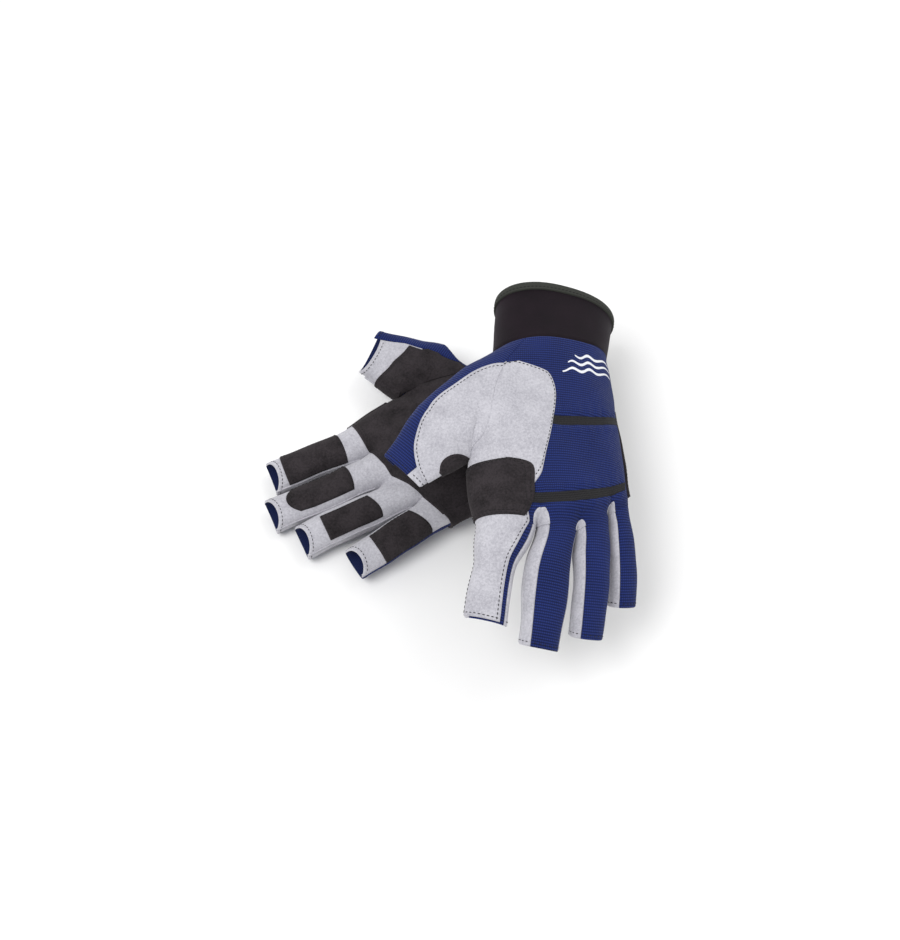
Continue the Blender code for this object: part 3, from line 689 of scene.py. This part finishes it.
def shell(name, look, surface, size, layers=(0.0, -CLOTH), rims=(1, 1, 1, 1), lining=None, ring=False,
          rows=None, drop=0.6):
    """A closed piece of cloth. surface(a, b, off) gives points, a across and b along, each 0 to 1;
    size is its rough width and length, rims says which of its four edges are rounded over:
    the a = 0, a = 1, b = 0 and b = 1 edges."""
    top, bottom = layers
    a, b = stops(size[0], rims[0], rims[1]), stops(size[1], rims[2], rims[3])
    fall = np.maximum(falls(a, rims[0], rims[1])[:, None], falls(b, rims[2], rims[3])[None])
    fall = fall * min(drop, 0.75 * (top - bottom))
    across, along = np.meshgrid(a, b, indexing="ij")
    outer = surface(across, along, top - fall)
    inner = surface(across, along, np.full(across.shape, bottom))
    na, nb = across.shape
    turn = na - 1 if ring else na
    step = np.linalg.norm(np.diff(outer, axis=0), axis=-1)
    u = np.concatenate([np.zeros((1, nb)), np.cumsum(step, 0)])
    u -= u[na // 2]
    if rows is None:
        step = np.linalg.norm(np.diff(outer, axis=1), axis=-1)
        v = np.concatenate([np.zeros((na, 1)), np.cumsum(step, 1)], 1)
    else:
        v = rows(across, along)
    points = np.concatenate([outer[:turn].reshape(-1, 3), inner[:turn].reshape(-1, 3)])
    count = turn * nb
    i, j = np.meshgrid(np.arange(na - 1), np.arange(nb - 1), indexing="ij")
    i, j = i.ravel(), j.ravel()
    corners = ((i, j), (i + 1, j), (i + 1, j + 1), (i, j + 1))
    top_faces = np.stack([(p % turn) * nb + q for p, q in corners], -1)
    marks = np.stack([np.stack([u[p, q], v[p, q]], -1) for p, q in corners], 1)
    faces, uvs, kinds = [top_faces, top_faces[:, ::-1] + count], [marks, marks[:, ::-1]], [0, 1]
    edges = [[(k, 0) for k in range(na)], [(k, nb - 1) for k in range(na - 1, -1, -1)]]
    if not ring:
        edges += [[(0, k) for k in range(nb - 1, -1, -1)], [(na - 1, k) for k in range(nb)]]
    for line in edges:
        line = np.array(line)
        spot = (line[:, 0] % turn) * nb + line[:, 1]
        mark = np.stack([u[line[:, 0], line[:, 1]], v[line[:, 0], line[:, 1]]], -1)
        faces.append(np.stack([spot[1:], spot[:-1], spot[:-1] + count, spot[1:] + count], -1))
        uvs.append(np.stack([mark[1:], mark[:-1], mark[:-1], mark[1:]], 1))
        kinds.append(0)
    index = np.concatenate([np.full(len(f), kind) for f, kind in zip(faces, kinds)])
    faces, uvs = np.concatenate(faces), np.concatenate(uvs)
    mesh = bpy.data.meshes.new(name)
    mesh.from_pydata((points + SHIFT) * MM, [], faces.tolist())
    mesh.uv_layers.new(name="cloth").data.foreach_set("uv", uvs.reshape(-1, 2).ravel())
    mesh.polygons.foreach_set("material_index", index if lining else 0 * index)
    bm = bmesh.new()
    bm.from_mesh(mesh)
    if bm.calc_volume(signed=True) < 0:
        bmesh.ops.reverse_faces(bm, faces=bm.faces)
    bm.to_mesh(mesh)
    bm.free()
    mesh.shade_smooth()
    mesh.set_sharp_from_angle(angle=radians(50))
    return object_of(name, mesh, look, *([lining] if lining else []))


def eased(points, t):
    """A smooth path through given points."""
    points = np.array(points, float)
    last = len(points) - 1
    spot = np.clip(np.asarray(t, float) * last, 0, last - 1e-9)
    i = np.floor(spot).astype(int)
    f = (spot - i)[..., None]
    before, after = points[np.clip(i - 1, 0, last)], points[np.clip(i + 2, 0, last)]
    a, b = points[i], points[i + 1]
    return 0.5 * (2 * a + (b - before) * f + (2 * before - 5 * a + 4 * b - after) * f ** 2
                  + (3 * a - before - 3 * b + after) * f ** 3)


def band_middle(row, w):
    """A bowed line across the back, level in the pattern whatever the knuckles do."""
    top, top_w, fall = row[2:]
    return (top - fall * (w - top_w) ** 2) / np.interp(w, range(5), [y for _, y in KNUCKLES])


def value(rule, x):
    return rule(x) if callable(rule) else rule + 0 * x


def laid(glove, part, spot):
    """A surface and the rows of its ribs, from spot(a, b), which gives w and v."""
    def surface(a, b, off):
        return glove.at(part, *spot(a, b), off)

    def rows(a, b):
        return glove.thread_rows(part, *spot(a, b))
    return surface, rows


def band(glove, part, low, high, start, end):
    """A piece from v = start to end, whose edges w = low and high may change with v."""
    def spot(a, b):
        v = start + (end - start) * b
        return value(low, v) + (value(high, v) - value(low, v)) * a, v
    return laid(glove, part, spot)


def apron(glove, part, low, high, start, end):
    """A piece from w = low to high, whose edges v = start and end may change with w."""
    def spot(a, b):
        w = low + (high - low) * a
        return w, value(start, w) + (value(end, w) - value(start, w)) * b
    return laid(glove, part, spot)


def ruled(place, left, right):
    """A patch between two smooth edges of (column, row) points; place(column, row, off) lays it."""
    def surface(a, b, off):
        p, q = eased(left, b), eased(right, b)
        c, r = np.moveaxis(p + (q - p) * np.asarray(a)[..., None], -1, 0)
        return place(c, r, off)
    return surface


def on(glove, digit):
    return lambda c, r, off: glove.spot(c, r, off, digit)


def part_of(glove, part):
    return lambda w, v, off: glove.at(part, w, v, off)


# ---- stitches ----
def legs(surface, inset, which):
    """Rows of stitches inset millimetres inside a piece, along the edges named: left, right, start, end."""
    t = np.linspace(0, 1, 61)
    a, b = np.meshgrid(t, t, indexing="ij")
    points = surface(a, b, 0.0)
    width = np.linalg.norm(np.diff(points, axis=0), axis=-1).sum(0)
    length = np.linalg.norm(np.diff(points, axis=1), axis=-1).sum(1)
    in_a, in_b = np.clip(inset / width, 0, 0.5), np.clip(inset / length, 0, 0.5)
    out = []
    for leg in which.split():
        if leg in ("left", "right"):
            side = 0 if leg == "left" else -1
            run = np.linspace(in_b[side], 1 - in_b[side], 150)
            near = np.interp(run, t, in_a)
            out.append((near if side == 0 else 1 - near, run))
        else:
            side = 0 if leg == "start" else -1
            run = np.linspace(in_a[side], 1 - in_a[side], 150)
            near = np.interp(run, t, in_b)
            out.append((run, near if side == 0 else 1 - near))
    return out


def stitch_group():
    """Threads laid along lines: each stitch a small round-ended length, bedded in the cloth."""
    group = bpy.data.node_groups.new("stitches_along_seams", "GeometryNodeTree")
    face = group.interface
    face.new_socket("Geometry", in_out="INPUT", socket_type="NodeSocketGeometry")
    for name in ("Pitch", "Stitch Length", "Thread"):
        face.new_socket(name, in_out="INPUT", socket_type="NodeSocketFloat")
    face.new_socket("Material", in_out="INPUT", socket_type="NodeSocketMaterial")
    face.new_socket("Geometry", in_out="OUTPUT", socket_type="NodeSocketGeometry")

    def node(kind, **settings):
        made = group.nodes.new(kind)
        for key, value in settings.items():
            setattr(made, key, value)
        return made

    given, done = node("NodeGroupInput"), node("NodeGroupOutput")
    curve = node("GeometryNodeMeshToCurve")
    along = node("GeometryNodeCurveToPoints", mode="LENGTH")
    up = node("GeometryNodeInputNamedAttribute", data_type="FLOAT_VECTOR")
    up.inputs["Name"].default_value = "up"
    turn = node("FunctionNodeAlignRotationToVector", axis="X")
    roll = node("FunctionNodeAlignRotationToVector", axis="Z", pivot_axis="X")
    bead = node("GeometryNodeMeshUVSphere")
    bead.inputs["Segments"].default_value = 6
    bead.inputs["Rings"].default_value = 5
    bead.inputs["Radius"].default_value = 1.0
    half = node("ShaderNodeMath", operation="MULTIPLY")
    half.inputs[1].default_value = 0.5
    size = node("ShaderNodeCombineXYZ")
    place = node("GeometryNodeInstanceOnPoints")
    smooth_ = node("GeometryNodeSetShadeSmooth")
    real = node("GeometryNodeRealizeInstances")
    dress = node("GeometryNodeSetMaterial")
    for start, given_out, end, taken_in in (
            (given, "Geometry", curve, "Mesh"), (curve, "Curve", along, "Curve"),
            (given, "Pitch", along, "Length"), (along, "Tangent", turn, "Vector"),
            (turn, "Rotation", roll, "Rotation"), (up, "Attribute", roll, "Vector"),
            (along, "Points", place, "Points"), (roll, "Rotation", place, "Rotation"),
            (bead, "Mesh", place, "Instance"), (given, "Stitch Length", half, 0), (half, 0, size, "X"),
            (given, "Thread", size, "Y"), (given, "Thread", size, "Z"), (size, "Vector", place, "Scale"),
            (place, "Instances", real, "Geometry"), (real, "Geometry", smooth_, "Geometry"),
            (smooth_, "Geometry", dress, "Geometry"), (given, "Material", dress, "Material"),
            (dress, "Geometry", done, "Geometry")):
        group.links.new(start.outputs[given_out], end.inputs[taken_in])
    return group


class Thread:
    """The stitch lines of one body, sewn in one go."""

    def __init__(self):
        self.points, self.ups, self.edges = [], [], []

    def row(self, surface, paths, height):
        for a, b in paths:
            low, high = surface(a, b, height), surface(a, b, height + 1.0)
            up = high - low
            up /= np.linalg.norm(up, axis=-1, keepdims=True) + 1e-9
            first = sum(len(p) for p in self.points)
            self.edges += [(first + k, first + k + 1) for k in range(len(low) - 1)]
            self.points.append((low + SHIFT) * MM)
            self.ups.append(up)

    def sew(self, name):
        mesh = bpy.data.meshes.new(name)
        mesh.from_pydata(np.concatenate(self.points), self.edges, [])
        ups = mesh.attributes.new("up", "FLOAT_VECTOR", "POINT")
        ups.data.foreach_set("vector", np.concatenate(self.ups).ravel())
        lines = added(name + "_lines", mesh)
        modifier = lines.modifiers.new("stitches", "NODES")
        modifier.node_group = STITCHES
        amounts = {"Pitch": STITCH_PITCH * MM, "Stitch Length": STITCH_LENGTH * MM,
                   "Thread": THREAD_RADIUS * MM, "Material": THREAD.material}
        for item in STITCHES.interface.items_tree:
            if item.in_out == "INPUT" and item.name in amounts:
                modifier[item.identifier] = amounts[item.name]
        seen = lines.evaluated_get(bpy.context.evaluated_depsgraph_get())
        sewn = bpy.data.meshes.new_from_object(seen)
        bpy.data.objects.remove(lines)
        sewn.name = name
        sewn.materials.clear()
        return object_of(name, sewn, THREAD)


# ---- the pieces of a glove ----
def named(glove, piece):
    return "%s_%s" % (glove.lie["name"], piece)


def body_of(glove, digit=None):
    return named(glove, digit or "hand")


def bend(glove, digit, piece):
    """Works out the stretch over a digit's crease, from just past its root to BEND_LENGTH further on, and
    bakes the piece's transform; the piece is not bent.
    """
    root = glove.at(digit, np.array([0.0, 1.0]), np.full(2, 1.0), 0.0)
    ahead = glove.at(digit, np.array([0.0, 1.0]), np.full(2, 1.15), 0.0)
    way = (ahead.sum(0) - root.sum(0)) / 2
    way /= np.linalg.norm(way)
    reach = abs((root[0] - root[1]) @ way) / 2
    start = root.sum(0) / 2 + way * reach + SHIFT
    end = start + way * BEND_LENGTH
    body_of(glove)
    body_of(glove, digit)
    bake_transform(piece)


def settle(glove, piece, digit=None, *nodes):
    """Puts a finished piece under its hand's body, or for a digit piece only bakes its transform, and hides
    the part's nodes that it stands for.
    """
    if digit:
        bend(glove, digit, piece)
    else:
        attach(piece, body_of(glove))
    if nodes:
        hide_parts(*(named(glove, node) for node in nodes))


def wrist_ring(glove, start, end, sink=0.0):
    def surface(a, b, off):
        v = start + (end - start) * b
        return glove.around(np.mod(a * 10, 10), v, off - sink * smooth((v + 0.05) * 16))
    return surface


def make_cuff(glove):
    ring = dict(rims=(0, 0, 1, 1), ring=True)
    sleeve = shell(named(glove, "cuff_sleeve"), RUBBER, wrist_ring(glove, -0.99, 0.05, 1.2), (CUFF_ROUND, 37),
                   (-0.1, -NEOPRENE), **ring)
    settle(glove, sleeve, None, "cuff")
    tape = wrist_ring(glove, -1.0, -0.872)
    binding = shell(named(glove, "cuff_binding_tape"), OLIVE, tape, (CUFF_ROUND, 4.1), (0.8,
                                                                                        -NEOPRENE - 0.8),
                                                                                        **ring)
    settle(glove, binding, None, "cuff_binding")
    lip = shell(named(glove, "cuff_binding_lip"), OLIVE, wrist_ring(glove, -0.884, -0.862), (CUFF_ROUND, 0.8),
                (1.0, -0.3), **ring)
    settle(glove, lip)
    t = np.linspace(0, 1, 400)
    thread = Thread()
    thread.row(tape, [(t, np.full(400, 0.74))], 0.85)
    settle(glove, thread.sew(named(glove, "cuff_stitches")))


def hand_shares():
    """Columns across the hand, alike on back and palm so that they meet, and close at both ends."""
    near = 0.8 / 92
    inner = np.linspace(0, 1, 4 * 19 + 1)[1:-1]
    return np.concatenate([(0, near * 0.3, near), inner, (1 - near, 1 - near * 0.3, 1)])


def wrist_edge(w):
    """The cloth's lower edge over the cuff, lower towards the little finger."""
    return np.interp(w, (0, 2.6, 3.7, 4.3, 5.4, 8), (-0.01, -0.01, -0.06, -0.06, -0.01, -0.01))


def thumb_edge(v):
    """How far the navy back of the thumb comes over on to its palm side."""
    return np.interp(v, (0.0, 0.33, 0.8, 1.0, 1.38, 2.0), (0.9, 0.8, 0.38, 0.28, 0.26, 0.32))


def make_panels(glove):
    shares = (hand_shares(), 105)
    surface, rows = apron(glove, "hand", 0.0, 4.0, wrist_edge, 1.0)
    back = shell(named(glove, "back_cloth"), NAVY, surface, shares, rims=(1, 1, 1, 0), lining=LINING,
                 rows=rows)
    settle(glove, back, None, "back_panel")
    surface = apron(glove, "hand", 8.0, 4.0, wrist_edge, 1.0)[0]
    palm = shell(named(glove, "palm_suede"), GREY, surface, shares, rims=(1, 1, 1, 0), lining=LINING)
    settle(glove, palm, None, "palm_panel")
    surface, rows = band(glove, THUMB, lambda v: -thumb_edge(v), 1.0, -0.01, 1.0)
    base = shell(named(glove, "thumb_base_cloth"), NAVY, surface, (58, 62), rims=(1, 1, 1, 0), lining=LINING,
                 rows=rows)
    settle(glove, base, None, "thumb_base_back")
    surface = band(glove, THUMB, 1.0, lambda v: 2 - thumb_edge(v), -0.01, 1.0)[0]
    base = shell(named(glove, "thumb_base_suede"), BLACK, surface, (34, 62), rims=(1, 1, 1, 0), lining=LINING)
    settle(glove, base, None, "thumb_base_palm")
    for k, top in WEBS:
        beyond = STRIPS[DIGITS[k]][0] + 0.02

        def web(a, b, off, k=k, top=top, beyond=beyond):
            v = top + (1 - top) * b
            share = np.sqrt(1 - (1 - b) ** 2 * 0.97)
            crown = 0.3 * beyond - 0.03
            edge = beyond * a - 0.2 * (1 - a)
            return glove.at("hand", k + crown + (edge - crown) * share, v, off)
        piece = shell(named(glove, "finger_web_%d" % k), GREY, web, (9, 100 * (1 - top)), (0.2, -0.6),
                      rims=(1, 1, 1, 0))
        settle(glove, piece)


def patch(glove, piece, look, surface, size, layers, digit, nodes, thread, insets, edges, proud=PROUD):
    """A patch laid over the cloth, with rows of stitches inside the edges named."""
    settle(glove, shell(named(glove, piece), look, surface, size, layers), digit, *nodes)
    for inset in insets:
        thread.row(surface, legs(surface, inset, edges), layers[0] + proud)


def make_overlays(glove, rows_of):
    """Suede laid over the hand, its bands and their stitches."""
    index, thumb, hand = rows_of["index"], rows_of[THUMB], rows_of["hand"]
    left = ((0.04, 0.185), (0.10, 0.30), (0.16, 0.40), (0.20, 0.50), (0.14, 0.60), (-0.04, 0.675), (-0.10,
                                                                                                    0.78),
            (-0.12, 0.88), (-0.12, 1.0), (-0.05, 1.27), (-0.02, 1.6), (-0.02, 1.985))
    right = ((0.50, 0.165), (0.95, 0.20), (1.22, 0.255), (1.35, 0.33), (1.33, 0.42), (1.25, 0.52), (1.12,
                                                                                                    0.64),
             (0.98, 0.78), (0.72, 1.0), (0.68, 1.27), (0.69, 1.6), (0.70, 1.985))
    surface = ruled(on(glove, "index"), left, right)
    patch(glove, "index_lobe", GREY, surface, (34, 150), OVERLAY, "index",
          ("index_overlay", "index_overlay_tip"), index, ONE_ROW, "right end start", LOBE_PROUD)
    t = np.linspace(0.72, 0.985, 80)
    index.row(surface, [(0 * t + 0.09, t)], OVERLAY[0] + LOBE_PROUD)

    left = ((0.16, 0.172), (-0.14, 0.205), (-0.38, 0.300), (-0.55, 0.430), (-0.66, 0.560), (-0.67, 0.680),
            (-0.62, 0.860), (-0.54, 1.03), (-0.38, 1.16), (-0.20, 1.21))
    right = ((0.17, 0.20), (0.27, 0.30), (0.36, 0.38), (0.40, 0.47), (0.34, 0.57), (0.0, 0.652),
             (-0.01, 0.80), (-0.01, 0.95), (-0.01, 1.10), (-0.03, 1.195))
    surface = ruled(on(glove, THUMB), left, right)
    patch(glove, "thumb_lobe", GREY, surface, (34, 100), LAPPED, THUMB, ("thumb_gusset",), thumb, ONE_ROW,
          "left", LOBE_PROUD)

    left = ((-0.12, 0.72), (-0.13, 0.79), (-0.13, 0.86), (-0.12, 0.93), (-0.10, 0.98))
    right = ((0.70, 0.690), (0.91, 0.722), (0.93, 0.82), (0.90, 0.90), (0.66, 0.978))
    surface = ruled(on(glove, None), left, right)
    patch(glove, "knuckle_suede", BLACK, surface, (26, 26), SECOND, None, ("knuckle_patch",), hand, TWO_ROWS,
          "right start end")

    for row, node in zip(BANDS, ("upper", "lower")):
        def webbing(a, b, off, row=row):
            w = row[0] + (row[1] - row[0]) * b
            return glove.at("hand", w, band_middle(row, w) + (2 * a - 1) * BAND_HALF / BAND_ROWS, off)
        piece = shell(named(glove, "elastic_webbing_" + node), ELASTIC, webbing, (2 * BAND_HALF, 62),
                      (0.55, -0.4),
                      drop=0.5)
        settle(glove, piece, None, "elastic_band_" + node)

    left = ((3.92, 0.33), (3.80, 0.48), (3.72, 0.64), (3.68, 0.80), (3.74, 0.94))
    right = ((4.45, 0.36), (4.45, 0.53), (4.45, 0.70), (4.45, 0.84), (4.45, 0.93))
    surface = ruled(on(glove, None), left, right)
    patch(glove, "edge_suede", BLACK, surface, (19, 58), EDGE, None, ("outer_edge_patch",), hand, EDGE_ROW,
          "left start end")

    def front(w):
        return np.interp(8 - w, (0, 0.3, 0.95, 1.65, 2.5, 3.1, 3.7, 4.0),
                         (0.955, 0.952, 0.94, 0.905, 0.90, 0.925, 0.94, 0.94))
    surface = apron(glove, "hand", 7.995, 4.35, 0.10, front)[0]
    patch(glove, "palm_black_suede", BLACK, surface, (86, 88), OVERLAY, None, ("palm_reinforcement",), hand,
          TWO_ROWS, "end start")

    left = ((1.0, 0.995), (0.89, 1.07), (0.80, 1.20), (0.77, 1.36), (0.80, 1.50), (0.90, 1.60))
    right = ((1.16, 0.995), (1.16, 1.10), (1.16, 1.22), (1.16, 1.36), (1.16, 1.47), (1.14, 1.55))
    surface = ruled(part_of(glove, THUMB), left, right)
    patch(glove, "crotch_suede", BLACK, surface, (17, 20), SECOND, THUMB, ("crotch_patch",), thumb,
          CROTCH_ROWS,
          "left end")


def make_digit(glove, digit, thread):
    first, last = STRIPS[digit]
    left = (lambda v: -thumb_edge(v)) if digit == THUMB else first
    around = (lambda v: 2 - thumb_edge(v)) if digit == THUMB else 2 + first
    length = DIGIT_LENGTH[digit]
    surface, rows = band(glove, digit, left, last, 1.0, 2.0)
    width = (last - first) * 21 if digit != THUMB else 26
    strip = shell(named(glove, digit + "_back_strip"), NAVY, surface, (width, length), rims=(1, 1, 0, 1),
                  lining=LINING, rows=rows)
    settle(glove, strip, digit, digit + "_back")
    thread.row(surface, legs(surface, HEM_ROW, "end"), HEM_PROUD)

    def surface(a, b, off):
        far = value(around, 1 + b)
        v = 1 + b * (1 - PALM_CUT / length * np.sin(pi * np.clip((last + (far - last) * a - 1) / 0.95, 0, 1)))
        return glove.at(digit, last + (value(around, v) - last) * a, v, off)
    front = shell(named(glove, digit + "_front_suede"), GREY, surface, (2 * 24 - width, length), rims=(1,
                                                                                                       1,
                                                                                                       0, 1),
                  lining=LINING)
    settle(glove, front, digit, digit + "_front")
    thread.row(surface, legs(surface, HEM_ROW, "end"), HEM_PROUD)
    if digit == THUMB:
        def tip(w):
            return np.interp(2 - w, (0.17, 0.40, 0.83, 1.0), (1.24, 1.30, 1.55, 1.60))

        def surface(a, b, off):
            w = 1.03 + (1.97 - thumb_edge(0.30 + b * 1.1) - 1.03) * a
            v = 0.30 + (tip(w) - 0.30) * b
            return glove.at(THUMB, w, v, off)
        size, insets = (30, 70), TWO_ROWS
    else:
        low, high, start, end, round_ = PADS[digit]

        def surface(a, b, off):
            bow = 1 - (2 * a - 1) ** 2
            w = low + (high - low) * (0.5 + (a - 0.5) * (1 - 4 * round_ * np.clip(b - 0.75, 0, 1)))
            v = start + 0.03 * (1 - bow) + (end - start - 0.03 * (1 - bow) - round_ * (1 - bow)) * b
            return glove.at(digit, w, v, off)
        size, insets = ((high - low) * 20, (end - start) * length), PAD_ROWS
        thread.row(surface, legs(surface, PAD_SIDE_ROW, "left right start"), OVERLAY[0] + PROUD)
    patch(glove, digit + "_pad_suede", BLACK, surface, size, OVERLAY, digit, (digit + "_pad",), thread,
          insets,
          "end")
    if digit != THUMB:
        for w in (1.09, 1.93):
            surface = band(glove, digit, w - 0.018, w + 0.018, 1.0, 1.99)[0]
            ridge = shell(named(glove, "%s_side_seam_%d" % (digit, w * 100)), GREY, surface, (0.9, length),
                          (0.5, -0.5), rims=(1, 1, 0, 1), drop=0.7)
            settle(glove, ridge, digit)


def make_print(glove):
    """A plain mark of waves near the cuff, printed in white."""
    for k, (start, end, row) in enumerate(((1.55, 3.5, 0.175), (1.75, 3.5, 0.132), (2.05, 3.5, 0.089))):
        def stroke(a, b, off, start=start, end=end, row=row):
            w = start + (end - start) * b
            thick = 0.0085 * np.sin(pi * (0.06 + 0.9 * b)) ** 0.5
            v = row - 0.012 * (w - 2.6) + 0.011 * np.sin(w * 9.0) + (2 * a - 1) * thick
            return glove.at("hand", w, v, off)
        piece = shell(named(glove, "wave_print_%d" % (k + 1)), WHITE, stroke, (1.7, 34), (0.12, -0.3),
                      drop=0.1)
        settle(glove, piece)


def make_glove(lie, creases, phase):
    glove = Glove(lie, creases, phase)
    rows_of = {name: Thread() for name in ("hand", THUMB) + DIGITS}
    make_cuff(glove)
    make_panels(glove)
    make_overlays(glove, rows_of)
    for digit in DIGITS + (THUMB,):
        make_digit(glove, digit, rows_of[digit])
    make_print(glove)
    for name, thread in rows_of.items():
        piece = thread.sew(named(glove, name + "_stitches"))
        settle(glove, piece, None if name == "hand" else name)


def frame_shift():
    """From the gloves' own millimetres to the frame's, found on the left cuff."""
    plain = Glove(LEFT, (), 0.0)
    plain.relief = lambda part, g, v, p: 0 * v
    q, v = np.meshgrid(np.arange(30) / 3, (-0.93, -0.6, -0.3, -0.02))
    points = np.concatenate([plain.around(q.ravel(), v.ravel(), off) for off in (0.0, -NEOPRENE)])
    low, high = (np.array(corner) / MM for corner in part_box("left_cuff"))
    return (low + high - points.min(0) - points.max(0)) / 2


# ---- folds pressed into the upper side: from x, y to x, y, depth, width ----
LEFT_CREASES = (
    (40.0, 62.0, 26.0, 48.0, 0.9, 3.2),
    (42.0, 60.0, 38.0, 40.0, 0.8, 3.0),
    (47.0, 60.0, 60.0, 44.0, 0.8, 3.6),
    (12.0, 92.0, -6.0, 88.0, 0.4, 2.2),
    (-8.0, 96.0, -30.0, 90.0, 0.4, 2.0),
)
RIGHT_CREASES = (
    (44.0, 62.0, 12.0, 30.0, 1.3, 3.2),
    (38.0, 74.0, 16.0, 66.0, 0.9, 2.6),
    (20.0, 96.0, 4.0, 84.0, 0.6, 3.0),
    (-4.0, 96.0, -20.0, 82.0, 0.6, 2.6),
    (62.0, 60.0, 40.0, 44.0, 0.8, 3.0),
)

STITCHES = stitch_group()
SHIFT = np.zeros(3)
SHIFT = frame_shift()
for lie, creases, phase in ((LEFT, LEFT_CREASES, 0.6), (RIGHT, RIGHT_CREASES, 2.1)):
    make_glove(lie, creases, phase)


# ---- floor, light and camera ----
def make_stage():
    mesh = bpy.data.meshes.new("studio_floor")
    mesh.from_pydata([(-3, -3, 0), (3, -3, 0), (3, 3, 0), (-3, 3, 0)], [], [(0, 1, 2, 3)])
    paper = bpy.data.materials.new("white_paper")
    paper.use_nodes = True
    shader = paper.node_tree.nodes["Principled BSDF"]
    shader.inputs["Base Color"].default_value = (0.86, 0.86, 0.86, 1)
    shader.inputs["Roughness"].default_value = 0.9
    mesh.materials.append(paper)
    floor = added("studio_floor", mesh)
    world = bpy.data.worlds.new("studio")
    world.use_nodes = True
    world.node_tree.nodes["Background"].inputs["Color"].default_value = (1.0, 1.0, 1.0, 1)
    world.node_tree.nodes["Background"].inputs["Strength"].default_value = 0.75
    bpy.context.scene.world = world


def soft_light(name, place, size, power):
    light = bpy.data.lights.new(name, "AREA")
    light.shape, light.size, light.energy = "DISK", size, power
    lamp = added(name, light)
    lamp.location = place
    lamp.rotation_euler = (-Vector(place)).to_track_quat("-Z", "Y").to_euler()


def make_camera():
    camera = bpy.data.cameras.new("camera")
    camera.lens = LENS
    eye = added("camera", camera)
    target = Vector((SHIFT[0], SHIFT[1], LOOK_HEIGHT)) * MM
    lift = radians(LIFT)
    back = Vector((0, -cos(lift), sin(lift)))
    eye.location = target + back * DISTANCE
    eye.rotation_euler = (-back).to_track_quat("-Z", "Y").to_euler()
    bpy.context.scene.camera = eye


make_stage()
soft_light("window", (-0.5, -0.3, 1.1), 0.7, 9.0)
soft_light("fill", (0.7, 0.4, 0.9), 0.8, 4.0)
make_camera()
bpy.context.scene.view_settings.view_transform = "Standard"
